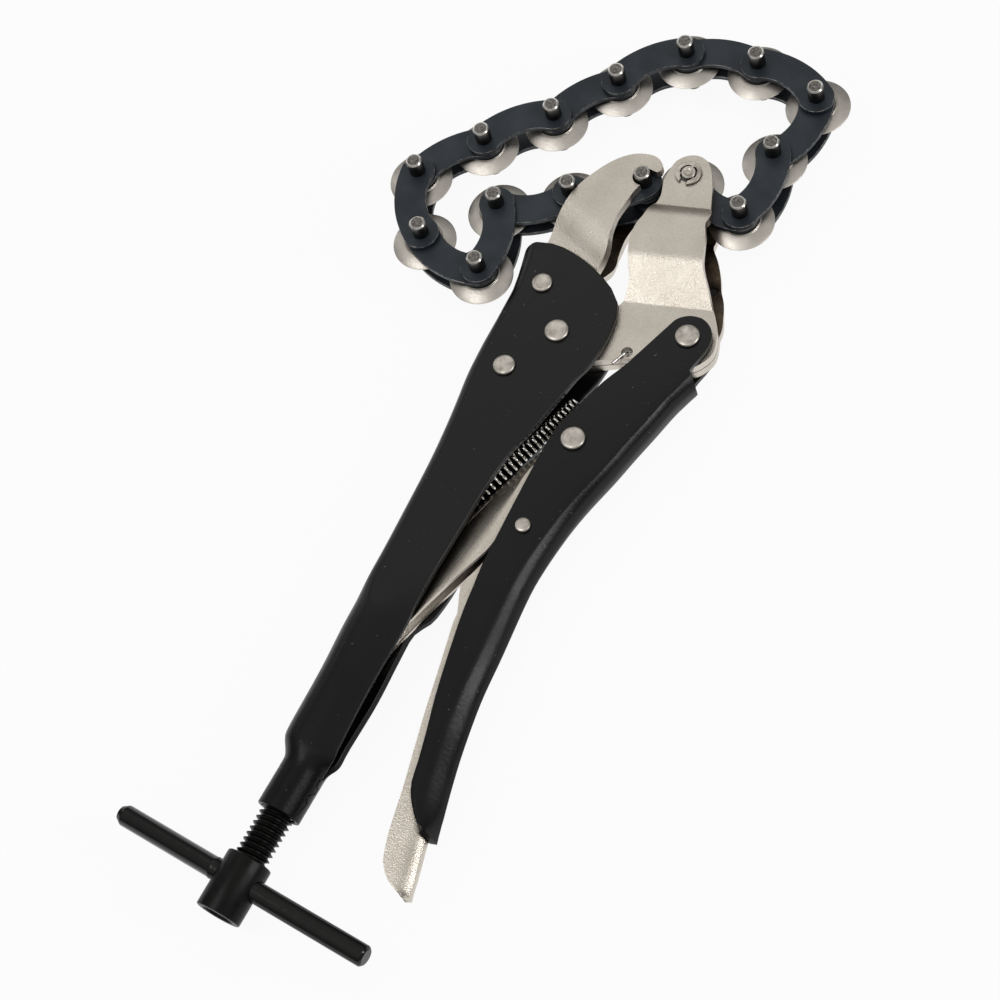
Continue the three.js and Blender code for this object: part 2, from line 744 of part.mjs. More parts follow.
// Adjusting screw, hub and bar
function lengthwiseRod(radius, from, to, chamfer, sides) {
  const profile = [
    [0, from], [radius - chamfer, from], [radius, from + chamfer],
    [radius, to - chamfer], [radius - chamfer, to], [0, to],
  ];
  return new THREE.LatheGeometry(profile.map(([r, y]) => new THREE.Vector2(r, y)), sides);
}

const hubTop = neckBottom - hubGap;
const hubBottom = hubTop - hubLength;
const barHeight = hubTop - barDrop;

function adjustingScrew() {
  return lengthwiseRod(screwRadius, hubTop - hubSocket + clearance, screwTip, pinChamfer, hubSides);
}

function screwHub() {
  const body = lengthwiseRod(hubDiameter / 2, hubBottom, hubTop, hubChamfer, hubSides);
  const socket = lengthwiseRod(screwRadius + clearance, hubTop - hubSocket, hubTop + cutOverrun, 0, hubSides);
  const crossBore = new THREE.CylinderGeometry(
    barDiameter / 2 + clearance, barDiameter / 2 + clearance, 2 * hubDiameter, rivetSides,
  );
  crossBore.rotateZ(Math.PI / 2 + barTilt);
  crossBore.translate(0, barHeight, 0);
  return cut(body, socket, crossBore);
}

function tBar() {
  const bar = lengthwiseRod(barDiameter / 2, -barLength / 2, barLength / 2, barChamfer, rivetSides);
  bar.rotateZ(-Math.PI / 2);
  bar.translate(barOffset, 0, 0);
  bar.rotateZ(barTilt);
  return bar.translate(0, barHeight, 0);
}

// Spring: one wire from the hole in the movable jaw's front plate, wound along its axis to the
// tongue in the handle. Lead rows: distance from the seat as a share of the hole's diameter, then
// height as a share of the wire's level on the plate. Tail rows: distance above the tongue in wire
// diameters, then height as a share of the last curl's.
const springLeadShares = [
  [0, 0.425], [0, 0.670], [0.0625, 0.890], [0.250, 1], [1.400, 1], [2.200, 0.800], [3.600, 0.250],
];
const springTailShares = [[2.6, 0.3], [1.2, 0], [0, 0]];
const springTailRoom = 3 * springWire + springDiameter / 4;

function springPath() {
  const wire = springWire / 2;
  const start = new THREE.Vector2().addVectors(togglePivot, springOffset);
  const end = new THREE.Vector2(tongueRoot + tongueLength - springWire, tongueSeat + clearance + wire);
  const axis = new THREE.Vector2().subVectors(end, start);
  const coilLength = axis.length() - springTailRoom;
  axis.normalize();
  const pull = new THREE.Vector2().subVectors(start, springHole).normalize();
  const seat = springHole.clone().addScaledVector(pull, springHoleDiameter / 2 - wire - clearance);
  const face = jawBaseLevel + jawThickness + clearance + wire;
  const lead = springLeadShares.map(([distance, level]) => {
    const p = seat.clone().addScaledVector(pull, distance * springHoleDiameter);
    return new THREE.Vector3(p.x, p.y, level * face);
  });
  const radius = (springDiameter - springWire) / 2;
  const turns = Math.round(coilLength / springPitch);
  const steps = turns * curlSteps;
  const side = new THREE.Vector2(-axis.y, axis.x);
  const coil = [];
  for (let i = 0; i <= steps; i += 1) {
    const angle = (2 * Math.PI * i) / curlSteps;
    const travel = (coilLength * i) / steps;
    const offset = radius * Math.cos(angle);
    coil.push(new THREE.Vector3(
      start.x + axis.x * travel + side.x * offset,
      start.y + axis.y * travel + side.y * offset,
      radius * Math.sin(angle),
    ));
  }
  const last = coil[coil.length - 1];
  const tail = springTailShares.map(([rise, height]) =>
    new THREE.Vector3(end.x, end.y + rise * springWire, height * last.z));
  return { points: [...lead, ...coil, ...tail], turns };
}

// A tube of few sides along points, its section carried along without twist
function wireTube(points, radius, sides) {
  const tangents = points.map((p, i) => {
    const before = points[Math.max(i - 1, 0)];
    const after = points[Math.min(i + 1, points.length - 1)];
    return new THREE.Vector3().subVectors(after, before).normalize();
  });
  const normal = new THREE.Vector3(1, 0, 0);
  const positions = [];
  tangents.forEach((tangent, i) => {
    normal.addScaledVector(tangent, -normal.dot(tangent)).normalize();
    const binormal = new THREE.Vector3().crossVectors(tangent, normal);
    for (let j = 0; j < sides; j += 1) {
      const angle = (2 * Math.PI * j) / sides;
      const p = points[i].clone();
      p.addScaledVector(normal, radius * Math.cos(angle));
      p.addScaledVector(binormal, radius * Math.sin(angle));
      positions.push(p.x, p.y, p.z);
    }
  });
  const index = [];
  for (let i = 0; i < points.length - 1; i += 1) {
    for (let j = 0; j < sides; j += 1) {
      const k = (j + 1) % sides;
      const [a, b, c, d] = [i * sides + j, i * sides + k, (i + 1) * sides + j, (i + 1) * sides + k];
      index.push(a, b, c, b, d, c);
    }
  }
  const end = (points.length - 1) * sides;
  for (let j = 1; j < sides - 1; j += 1) {
    index.push(0, j + 1, j, end, end + j, end + j + 1);
  }
  const geometry = new THREE.BufferGeometry();
  geometry.setAttribute('position', new THREE.Float32BufferAttribute(positions, 3));
  geometry.setIndex(index);
  return outward(geometry);
}

// Least distance between parts of the wire that lie more than half a turn apart
function leastGap(points, diameter) {
  let least = Infinity;
  for (let i = 0; i < points.length; i += 1) {
    for (let j = i + curlSteps / 2 + 1; j < points.length; j += 1) {
      least = Math.min(least, points[i].distanceTo(points[j]) - diameter);
    }
  }
  return least;
}

// Chain plate between two pins: round ends, a belly outwards and a waist towards the pipe, drawn
// with the first pin at the origin and the second on +X
function linkOutline(pitch) {
  const middle = pitch / 2;
  const bellyCentre = (middle ** 2 - (linkBelly - linkEndRadius) ** 2) / (2 * (linkBelly - linkEndRadius));
  const bellyRadius = linkBelly + bellyCentre;
  const reach = linkEndRadius - linkWaist;
  const waistRadius = (middle ** 2 + linkWaist ** 2 - linkEndRadius ** 2) / (2 * reach);
  const waistCentre = waistRadius + linkWaist;
  const first = new THREE.Vector2(0, 0);
  const second = new THREE.Vector2(pitch, 0);
  const bellyAngle = Math.atan2(bellyCentre, middle);
  const waistAngle = Math.atan2(waistCentre, middle);
  const belly = new THREE.Vector2(middle, bellyCentre);
  const waist = new THREE.Vector2(middle, waistCentre);
  return [
    ...arc(first, linkEndRadius, waistAngle, Math.PI + bellyAngle, linkArcSteps + 1),
    ...arc(belly, bellyRadius, Math.PI + bellyAngle, 2 * Math.PI - bellyAngle, linkArcSteps).slice(1, -1),
    ...arc(second, linkEndRadius, -bellyAngle, Math.PI - waistAngle, linkArcSteps + 1),
    ...arc(waist, waistRadius, -waistAngle, waistAngle - Math.PI, linkArcSteps).slice(1, -1),
  ];
}

function linkPlates(pitch, level) {
  const outline = linkOutline(pitch);
  return [
    prism(outline, level, level + linkThickness),
    prism(outline, -level - linkThickness, -level),
  ];
}

function chainPin(place) {
  const half = pinLength / 2;
  const inner = pinRadius - pinChamfer;
  return turned([
    [0, -half], [inner, -half], [pinRadius, pinChamfer - half],
    [pinRadius, half - pinChamfer], [inner, half], [0, half],
  ], place, pinSides);
}

// Inner link: two plates on two bushings. Outer link: two plates with two pins pressed in.
function innerLink(pitch) {
  const ends = [new THREE.Vector2(0, 0), new THREE.Vector2(pitch, 0)];
  const barrel = innerLinkLevel + linkThickness / 2;
  const bushings = ends.map((end) => upright(end, bushingRadius, -barrel, barrel, bushingSides));
  const bores = ends.map((end) => upright(end, bushingBore, -deepest, deepest, pinSides));
  return cut(join(...linkPlates(pitch, innerLinkLevel), ...bushings), ...bores);
}

function outerLink(pitch) {
  const ends = [new THREE.Vector2(0, 0), new THREE.Vector2(pitch, 0)];
  return join(...linkPlates(pitch, outerLinkLevel), ...ends.map(chainPin));
}

function cuttingWheel() {
  const [bore, hub, rim] = [wheelBore, wheelHubDiameter / 2, wheelDiameter / 2];
  const wide = wheelHubWidth / 2;
  return turned([
    [bore, -wide], [hub, -wide], [rim, 0], [hub, wide], [bore, wide], [bore, -wide],
  ], new THREE.Vector2(0, 0), wheelSides);
}

// Grooved washer on the chain's last pin, one each side of the first wheel's edge
const washerInner = 1.4;
const washerGroove = 0.4;

function endWasher(side) {
  const top = outerLinkLevel - plateGap;
  const outer = linkEndRadius - clearance;
  const groove = outer - washerGroove;
  const middle = (washerInner + top) / 2;
  const profile = [
    [bushingBore, washerInner], [outer, washerInner], [groove, middle], [outer, top], [bushingBore, top],
    [bushingBore, washerInner],
  ];
  const placed = side > 0 ? profile : profile.map(([r, z]) => [r, -z]).reverse();
  return turned(placed, new THREE.Vector2(0, 0), bushingSides);
}

// Anchor pin of the chain in the movable jaw, grooved at both ends for its clips
const earOuter = jawEarLevel + jawThickness;
const clipLevel = earOuter + headGap;
const grooveTop = clipLevel + clipThickness + headGap;

function anchorPinShape() {
  const groove = pinRadius - clipGrooveDepth;
  const top = grooveTop + anchorPinEnd;
  const upper = [
    [pinRadius, earOuter], [groove, earOuter], [groove, grooveTop], [pinRadius, grooveTop], [pinRadius, top],
  ];
  const lower = upper.map(([r, z]) => [r, -z]).reverse();
  return turned([[0, -top], ...lower, ...upper, [0, top]], anchorPin, pinSides);
}

function retainingClip(side) {
  const outer = clipDiameter / 2;
  const inner = pinRadius - clipGrooveDepth + clearance;
  const half = Math.asin(clipMouth / 2 / inner);
  const halfOuter = Math.asin(clipMouth / 2 / outer);
  const outline = [
    ...arc(anchorPin, outer, clipTurn + halfOuter, clipTurn + 2 * Math.PI - halfOuter, 18),
    ...arc(anchorPin, inner, clipTurn + 2 * Math.PI - half, clipTurn + half, 10),
  ];
  const bottom = side > 0 ? clipLevel : -clipLevel - clipThickness;
  return prism(outline, bottom, bottom + clipThickness);
}

// Assembly
const tool = new THREE.Group();
tool.name = 'chain_pipe_cutter';

function add(name, geometry, material) {
  const body = closedBody(geometry);
  body.computeVertexNormals();
  const mesh = new THREE.Mesh(body, material);
  mesh.name = name;
  tool.add(mesh);
  return mesh;
}

add('handle_shell', handleShell(), materials.paint());
add('fixed_jaw_front', fixedJawPlate(1), materials.nickel());
add('fixed_jaw_rear', fixedJawPlate(-1), materials.nickel());
add('rivet_fixed_jaw_upper', rivet(upperRivet, upperHead, fixingShank, channelOuter), materials.nickel());
add('rivet_fixed_jaw_lower', rivet(lowerRivet, lowerHead, fixingShank, channelOuter), materials.nickel());
add('rivet_jaw_pivot', rivet(jawPivot, pivotHead, pivotShank, channelOuter), materials.nickel());
add('movable_jaw_front', movableJawPlate(1), materials.nickel());
add('movable_jaw_rear', movableJawPlate(-1), materials.nickel());
add('anchor_pin', anchorPinShape(), materials.nickel());
add('retaining_clip_front', retainingClip(1), materials.nickel());
add('retaining_clip_rear', retainingClip(-1), materials.nickel());
add('rivet_lever_pivot', rivet(leverPivot, pivotHead, pivotShank, channelOuter), materials.nickel());
add('lever_shell', leverShell(), materials.paint());
add('rivet_toggle_pivot', rivet(togglePivot, pivotHead, pivotShank, channelOuter), materials.nickel());
add('rivet_release_pivot', rivet(releasePivot, releaseHead, releaseShank, channelOuter), materials.nickel());
add('toggle_link', toggleLink(), materials.nickel());
add('release_lever', releaseLever(), materials.nickel());
add('adjusting_screw', adjustingScrew(), materials.screw());
add('screw_hub', screwHub(), materials.screw());
add('t_bar', tBar(), materials.screw());

const spring = springPath();
add('return_spring', wireTube(spring.points, springWire / 2, wireSides), materials.wire());
console.log(`spring: ${spring.turns} curls, least gap ${leastGap(spring.points, springWire).toFixed(2)} mm`);

const label = (number) => String(number).padStart(2, '0');
linkHeadings.forEach((heading, i) => {
  const pitch = i === 0 ? anchorPitch : chainPitch;
  const inner = i % 2 === 0;
  const mesh = add(`link_${label(i + 1)}`, inner ? innerLink(pitch) : outerLink(pitch), materials.blued());
  mesh.position.set(pins[i].x, pins[i].y, 0);
  mesh.rotation.z = THREE.MathUtils.degToRad(heading);
  const wheel = add(`wheel_${label(i + 1)}`, cuttingWheel(), materials.wheel());
  wheel.position.set(pins[i].x, pins[i].y, 0);
});
for (const [name, side] of [['end_washer_front', 1], ['end_washer_rear', -1]]) {
  const washer = add(name, endWasher(side), materials.blued());
  washer.position.set(pins[pins.length - 1].x, pins[pins.length - 1].y, 0);
}

// The origin goes to the bottom centre of the whole tool's box
tool.updateMatrixWorld(true);
const box = new THREE.Box3().setFromObject(tool, true);
tool.position.set(-(box.min.x + box.max.x) / 2, -(box.min.y + box.max.y) / 2, -box.min.z);

export default tool;
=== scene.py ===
# The looks of a chain cutter for exhaust pipes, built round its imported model. The tool lies on its
# side. Places are in millimetres: x from the adjusting screw's axis, y along it from a zero that
# is 82.8 above the hub's foot, and z from the tool's middle plane.
import json
import math

import bmesh
import bpy
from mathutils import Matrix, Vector


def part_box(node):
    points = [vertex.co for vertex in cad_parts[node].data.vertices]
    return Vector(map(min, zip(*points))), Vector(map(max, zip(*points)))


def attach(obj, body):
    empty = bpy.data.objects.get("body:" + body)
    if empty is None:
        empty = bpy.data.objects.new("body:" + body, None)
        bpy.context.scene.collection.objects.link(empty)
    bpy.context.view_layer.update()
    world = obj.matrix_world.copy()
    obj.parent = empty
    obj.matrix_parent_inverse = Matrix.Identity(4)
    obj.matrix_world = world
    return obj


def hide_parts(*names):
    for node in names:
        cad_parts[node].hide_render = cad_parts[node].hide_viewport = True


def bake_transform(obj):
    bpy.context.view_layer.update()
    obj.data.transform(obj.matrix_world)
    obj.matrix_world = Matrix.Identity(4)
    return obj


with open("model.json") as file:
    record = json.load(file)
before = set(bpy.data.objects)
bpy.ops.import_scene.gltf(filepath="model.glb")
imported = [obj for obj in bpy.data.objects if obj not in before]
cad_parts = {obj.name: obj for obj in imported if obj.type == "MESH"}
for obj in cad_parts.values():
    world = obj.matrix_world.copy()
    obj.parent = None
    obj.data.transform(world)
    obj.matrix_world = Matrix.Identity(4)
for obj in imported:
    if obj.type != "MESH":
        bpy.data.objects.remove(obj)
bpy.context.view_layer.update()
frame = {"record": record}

MM = 0.001
hub_low, hub_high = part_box("screw_hub")
HUB_FOOT = -82.8
TOOL_ZERO = Vector((
    (hub_low.x + hub_high.x) / 2,
    hub_low.y - HUB_FOOT * MM,
    (hub_low.z + hub_high.z) / 2,
))


def at(x, y, z=0.0):
    """A place on the tool, from millimetres to the frame."""
    return TOOL_ZERO + Vector((x, y, z)) * MM


# Camera, where the photograph was taken from
CAMERA_PLACE = (252.9, -143.8, 571.6)
CAMERA_TURN = (26.3685, 11.2040, 29.6018)
camera_data = bpy.data.cameras.new("camera")
camera_data.lens = 88.05
camera_data.sensor_width = 36
camera_data.shift_x = -0.01623
camera_data.shift_y = -0.00636
camera_data.clip_start = 0.01
camera = bpy.data.objects.new("camera", camera_data)
camera.location = at(*CAMERA_PLACE)
camera.rotation_euler = [math.radians(turn) for turn in CAMERA_TURN]
bpy.context.scene.collection.objects.link(camera)
bpy.context.scene.camera = camera


# Finishes
def add(owner, kind, inputs=None, **settings):
    """A node of a material or world. inputs: each socket's value, or the output that feeds it."""
    tree = owner.node_tree
    node = tree.nodes.new(kind)
    for setting, value in settings.items():
        setattr(node, setting, value)
    for socket, source in (inputs or {}).items():
        if isinstance(source, bpy.types.NodeSocket):
            tree.links.new(source, node.inputs[socket])
        else:
            node.inputs[socket].default_value = source
    return node


def shader_of(material):
    return material.node_tree.nodes["Principled BSDF"]


def object_place(material):
    nodes = material.node_tree.nodes
    place = nodes.get("Texture Coordinate") or nodes.new("ShaderNodeTexCoord")
    return place.outputs["Object"]


def object_axis(material, axis):
    """How far along one of the frame's axes a place on the piece is."""
    split = add(material, "ShaderNodeSeparateXYZ", {"Vector": object_place(material)})
    return split.outputs[axis]


def share_between(material, source, low, high):
    """Where a value stands between two others, from 0 to 1."""
    return add(material, "ShaderNodeMapRange", {
        "Value": source, "From Min": low, "From Max": high,
    }).outputs["Result"]


def pattern(material, scale, detail):
    """A noise that lies still on the piece, with features of 1 / scale metres."""
    return add(material, "ShaderNodeTexNoise", {
        "Vector": object_place(material), "Scale": scale, "Detail": detail,
    }).outputs["Fac"]


def ramp(owner, source, stops):
    """Colours or greys along a value."""
    band = add(owner, "ShaderNodeValToRGB", {"Fac": source})
    elements = band.color_ramp.elements
    while len(elements) < len(stops):
        elements.new(0.5)
    for element, (position, colour) in zip(elements, stops):
        element.position = position
        element.color = (*colour, 1) if isinstance(colour, tuple) else (colour,) * 3 + (1,)
    return band.outputs["Color"]


def shade(material, socket, source, stops=None):
    """Feeds a socket of the shader, through a ramp where there are stops."""
    source = ramp(material, source, stops) if stops else source
    material.node_tree.links.new(source, shader_of(material).inputs[socket])


def make_finish(name, colour, roughness, metallic, tones=None, polish=None, relief=None):
    """A finish. tones and polish: a pattern's scale and detail, then stops of colour or roughness
    along it. relief: a pattern's scale and detail, then the grain's strength and depth."""
    material = bpy.data.materials.new(name)
    material.use_nodes = True
    inputs = shader_of(material).inputs
    inputs["Base Color"].default_value = (*colour, 1)
    inputs["Roughness"].default_value = roughness
    inputs["Metallic"].default_value = metallic
    for socket, rows in (("Base Color", tones), ("Roughness", polish)):
        if rows:
            scale, detail, *stops = rows
            shade(material, socket, pattern(material, scale, detail), stops)
    if relief:
        scale, detail, strength, depth = relief
        bump = add(material, "ShaderNodeBump", {
            "Height": pattern(material, scale, detail), "Strength": strength, "Distance": depth,
        })
        shade(material, "Normal", bump.outputs["Normal"])
    return material


def tint(material, source, stops):
    """Multiplies the base colour by a ramp of a value."""
    base = shader_of(material).inputs["Base Color"].links[0].from_socket
    mix = add(material, "ShaderNodeMix", {
        "Factor": 1, "A": base, "B": ramp(material, source, stops),
    }, data_type="RGBA", blend_type="MULTIPLY")
    shade(material, "Base Color", mix.outputs["Result"])


def painted_shade(material, reach, dark, alone=False):
    """Painted shade: darkens the base colour where other surfaces, or the piece's own alone, crowd
    round.
    """
    crowd = add(material, "ShaderNodeAmbientOcclusion", {"Distance": reach},
                samples=6, only_local=alone)
    tint(material, crowd.outputs["AO"], [(0.15, dark), (0.8, (1, 1, 1))])
    return material


def plated_steel(name="satin nickel plate", alone=False):
    """Satin nickel plate over tumbled steel: warm grey with a fine orange-peel grain."""
    peel = (2500, 3)
    material = make_finish(
        name, (0.60, 0.55, 0.485), 0.34, 1.0,
        tones=(90, 4, (0.35, (0.60, 0.55, 0.48)), (0.5, (0.64, 0.59, 0.52)),
               (0.68, (0.68, 0.63, 0.56))),
        polish=(*peel, (0.3, 0.26), (0.7, 0.38)), relief=(*peel, 0.7, 0.00016),
    )
    tint(material, pattern(material, *peel),
         [(0.25, (0.95, 0.945, 0.94)), (0.75, (1.04, 1.04, 1.04))])
    # Painted shade where other parts crowd round within 7 mm, and a finer painted shade at contacts
    painted_shade(material, 0.007, (0.10, 0.085, 0.07), alone)
    return painted_shade(material, 0.0009, (0.30, 0.27, 0.24))


def shaded_plate():
    """Between the plates: the same nickel, darkened brown as painted shade where the plates hide
    each other from the light.
    """
    material = plated_steel("nickel plate with painted shade")
    shade_pattern = pattern(material, 200, 3)
    tint(material, shade_pattern, [(0.35, (0.15, 0.12, 0.095)), (0.65, (0.30, 0.25, 0.20))])
    return material


def bright_plate():
    """Polished nickel on the cutting wheels, with the faint marks of turning."""
    material = make_finish(
        "bright nickel plate", (0.66, 0.62, 0.57), 0.24, 1.0,
        tones=(240, 3, (0.3, (0.48, 0.45, 0.41)), (0.7, (0.60, 0.56, 0.51))),
        polish=(1800, 3, (0.3, 0.30), (0.75, 0.42)), relief=(1800, 3, 0.3, 0.00008),
    )
    round_axis = add(material, "ShaderNodeTangent", direction_type="RADIAL", axis="Z")
    shade(material, "Tangent", round_axis.outputs["Tangent"])
    shader_of(material).inputs["Anisotropic"].default_value = 0.4
    # Painted shade where the plates and pins crowd round the wheel
    return painted_shade(material, 0.004, (0.15, 0.13, 0.11))


def pin_steel():
    """Pin sides: steel, dark near the plates and lighter towards the ends, a painted shade by
    height.
    """
    material = make_finish("pin side steel", (0.12, 0.11, 0.10), 0.34, 0.95,
                           relief=(1500, 3, 0.15, 0.00004))
    rise = add(material, "ShaderNodeMath", {0: object_axis(material, "Z"), 1: TOOL_ZERO.z},
               operation="SUBTRACT")
    height = add(material, "ShaderNodeMath", {0: rise.outputs["Value"]}, operation="ABSOLUTE")
    shade_by_height = share_between(material, height.outputs["Value"], 5.4 * MM, 10.2 * MM)
    shade(material, "Base Color", shade_by_height, [
        (0.0, (0.026, 0.026, 0.027)), (0.6, (0.050, 0.047, 0.045)),
        (0.85, (0.10, 0.095, 0.09)), (1.0, (0.28, 0.265, 0.25)),
    ])
    return material


def black_enamel(name, painted_sheen, smooth=0.24):
    """Black, slightly uneven, with a few specks of dust. The second argument gives the gloss by
    height on the tool: a painted sheen, lower where less light reflects.
    """
    material = make_finish(
        name, (0.0045, 0.0045, 0.0048), 0.34, 0.0,
        tones=(950, 1, (0.0, (0.0042, 0.0042, 0.0045)), (0.775, (0.0050, 0.0050, 0.0053)),
               (0.79, (0.07, 0.07, 0.07))),
        polish=(60, 4, (0.35, smooth), (0.65, smooth + 0.1)), relief=(900, 3, 0.35, 0.0001),
    )
    foot, head = -60, 140
    height = share_between(material, object_axis(material, "Y"),
                           TOOL_ZERO.y + foot * MM, TOOL_ZERO.y + head * MM)
    shade(material, "Specular IOR Level", height,
          [((y - foot) / (head - foot), gloss) for y, gloss in painted_sheen])
    return material


def black_oxide(name, smooth, rough, gloss):
    """The screw, hub and bar: black over turned steel."""
    material = make_finish(
        name, (0.0035, 0.0032, 0.0031), smooth, 0.0,
        tones=(300, 4, (0.35, (0.0030, 0.0028, 0.0027)), (0.65, (0.0055, 0.0050, 0.0047))),
        polish=(300, 4, (0.35, smooth), (0.65, rough)), relief=(300, 4, 0.12, 0.0001),
    )
    shader_of(material).inputs["Specular IOR Level"].default_value = gloss
    return material


NICKEL = plated_steel()
JAW_NICKEL = plated_steel("satin nickel jaw plate", alone=True)
SHADE_NICKEL = shaded_plate()
WHEEL = bright_plate()
# Dulled and cloudy where the tool pressed the heads, with painted shade round them where other parts
# crowd close
RIVET = painted_shade(make_finish(
    "pressed rivet steel", (0.50, 0.46, 0.42), 0.36, 1.0,
    tones=(420, 2, (0.35, (0.40, 0.37, 0.33)), (0.5, (0.55, 0.51, 0.46)),
           (0.65, (0.64, 0.60, 0.54))),
    polish=(420, 2, (0.3, 0.44), (0.7, 0.30)), relief=(420, 2, 0.25, 0.0001),
), 0.003, (0.05, 0.042, 0.035))
# Dark, satin and a little cloudy
BLUED = make_finish(
    "blued chain steel", (0.020, 0.026, 0.034), 0.42, 0.35,
    tones=(120, 4, (0.35, (0.017, 0.022, 0.029)), (0.65, (0.030, 0.038, 0.047))),
    polish=(2600, 3, (0.3, 0.36), (0.7, 0.50)), relief=(2600, 3, 0.12, 0.00003),
)
# The chain plates' rubbed edges, where the steel shows through the blue
EDGE = make_finish(
    "rubbed edge steel", (0.20, 0.19, 0.18), 0.36, 0.9,
    tones=(700, 4, (0.42, (0.045, 0.050, 0.055)), (0.6, (0.22, 0.21, 0.20))),
)
PIN = pin_steel()
# Sawn steel with a brownish cast
PIN_END = make_finish(
    "pin end steel", (0.17, 0.145, 0.125), 0.5, 0.8,
    tones=(1500, 4, (0.38, (0.10, 0.092, 0.085)), (0.62, (0.27, 0.255, 0.24))),
    relief=(1500, 4, 0.6, 0.0001),
)
PIN_RIM = make_finish(
    "pin rim steel", (0.62, 0.60, 0.56), 0.28, 1.0,
    tones=(1100, 2, (0.35, (0.45, 0.43, 0.40)), (0.6, (0.68, 0.66, 0.62))),
)
# Gloss by height is painted sheen: lowest round the neck and swell, where less light reflects
PAINT = black_enamel(
    "black enamel", [(-42, 0.14), (-34, 0.18), (0, 0.22), (20, 0.30), (120, 0.30)],
)
LEVER_PAINT = black_enamel("lever enamel", [(-40, 0.20), (30, 0.24), (120, 0.27)], smooth=0.22)
# Drawn thin and rubbed, with steel showing in specks, and lighter than the enamel all along as a
# painted highlight on the rounded edges
PAINT_EDGE_WEAR_AND_HIGHLIGHT = make_finish(
    "rubbed enamel edge with painted highlight", (0.02, 0.02, 0.02), 0.28, 0.0,
    tones=(800, 4, (0.5, (0.014, 0.013, 0.013)), (0.62, (0.06, 0.055, 0.05)),
           (0.75, (0.25, 0.23, 0.21))),
)
# Near-black painted shade, for the rear jaw plate's pocket
POCKET_SHADE = make_finish("painted shade in the pocket", (0.012, 0.009, 0.007), 0.5, 0.2)
# A dark painted shade outline on the clips' rounded edges
CLIP_EDGE_SHADE = make_finish("painted shade on the clip edges", (0.07, 0.06, 0.05), 0.4, 0.9)
OXIDE = black_oxide("black oxide", smooth=0.10, rough=0.18, gloss=0.32)
SATIN_OXIDE = black_oxide("satin black oxide", smooth=0.28, rough=0.38, gloss=0.14)
# Drawn wire, with painted shade where the coils and the parts round them crowd close
WIRE = painted_shade(make_finish(
    "drawn spring wire", (0.6, 0.58, 0.55), 0.2, 1.0,
    tones=(1500, 3, (0.35, (0.52, 0.50, 0.47)), (0.6, (0.74, 0.72, 0.69))),
    polish=(1500, 3, (0.35, 0.20), (0.65, 0.12)),
), 0.0012, (0.10, 0.09, 0.08))
BODY_OF = {
    node: body for body, nodes in frame["record"]["behaviour"]["bodies"].items() for node in nodes
}


# Ways of working, as by hand
def only(piece):
    bpy.ops.object.select_all(action="DESELECT")
    piece.select_set(True)
    bpy.context.view_layer.objects.active = piece


def edit(piece):
    only(piece)
    bpy.ops.object.mode_set(mode="EDIT")


def leave():
    bpy.ops.object.mode_set(mode="OBJECT")


def pick_all():
    bpy.ops.mesh.select_all(action="SELECT")


def pick_faces(piece, test):
    """Selects the faces that pass the test, and nothing else."""
    bpy.ops.mesh.select_mode(type="FACE")
    bpy.ops.mesh.select_all(action="DESELECT")
    for face in bmesh.from_edit_mesh(piece.data).faces:
        if test(face):
            face.select_set(True)
    bmesh.update_edit_mesh(piece.data)


def face_outwards():
    pick_all()
    bpy.ops.mesh.normals_make_consistent(inside=False)


def smooth(piece, angle):
    """Shades a piece smooth, except where it turns by more than the angle in degrees."""
    only(piece)
    bpy.ops.object.shade_smooth_by_angle(angle=math.radians(angle))


def settle(piece):
    """Puts the object at the origin, its place in its mesh."""
    only(piece)
    bpy.ops.object.transform_apply(location=True, rotation=True, scale=True)


def apply(piece, kind, **settings):
    only(piece)
    modifier = piece.modifiers.new(kind.lower(), kind)
    for setting, value in settings.items():
        setattr(modifier, setting, value)
    bpy.ops.object.modifier_apply(modifier=modifier.name)


def put(piece, places):
    """Moves every point of a piece to its own place."""
    edit(piece)
    bpy.ops.mesh.select_mode(type="VERT")
    bpy.ops.mesh.select_all(action="DESELECT")
    for number, place in enumerate(places):
        points = bmesh.from_edit_mesh(piece.data).verts
        points.ensure_lookup_table()
        points[number].select_set(True)
        bpy.ops.transform.translate(value=place - points[number].co)
        points = bmesh.from_edit_mesh(piece.data).verts
        points.ensure_lookup_table()
        points[number].select_set(False)
    leave()


def trace(name, outline):
    """A flat sheet with the outline of a pressing: a ring of points, each moved to its place."""
    bpy.ops.mesh.primitive_circle_add(vertices=len(outline), radius=MM, fill_type="NGON")
    piece = bpy.context.object
    piece.name = name
    put(piece, outline)
    return piece


def copy(piece, name):
    twin = piece.copy()
    twin.data = piece.data.copy()
    twin.name = name
    bpy.context.scene.collection.objects.link(twin)
    return twin


def mirrored(piece, name, middle=TOOL_ZERO):
    """The same pressing on the other side of the tool's middle plane."""
    twin = copy(piece, name)
    edit(twin)
    pick_all()
    bpy.ops.transform.resize(value=(1, 1, -1), center_override=middle)
    bpy.ops.mesh.flip_normals()
    leave()
    return twin


def join(piece, *others):
    only(piece)
    for other in others:
        other.select_set(True)
    bpy.ops.object.join()
    return piece


def carve(piece, tool, operation="DIFFERENCE"):
    apply(piece, "BOOLEAN", object=tool, operation=operation, solver="EXACT",
          material_mode="TRANSFER" if tool.data.materials else "INDEX")
    bpy.data.objects.remove(tool)


def thicken(sheet, thickness, **settings):
    """Turns a sheet face up and thickens it upwards."""
    if sum(face.normal.z for face in sheet.data.polygons) < 0:
        sheet.data.flip_normals()
    apply(sheet, "SOLIDIFY", thickness=thickness * MM, offset=1, **settings)


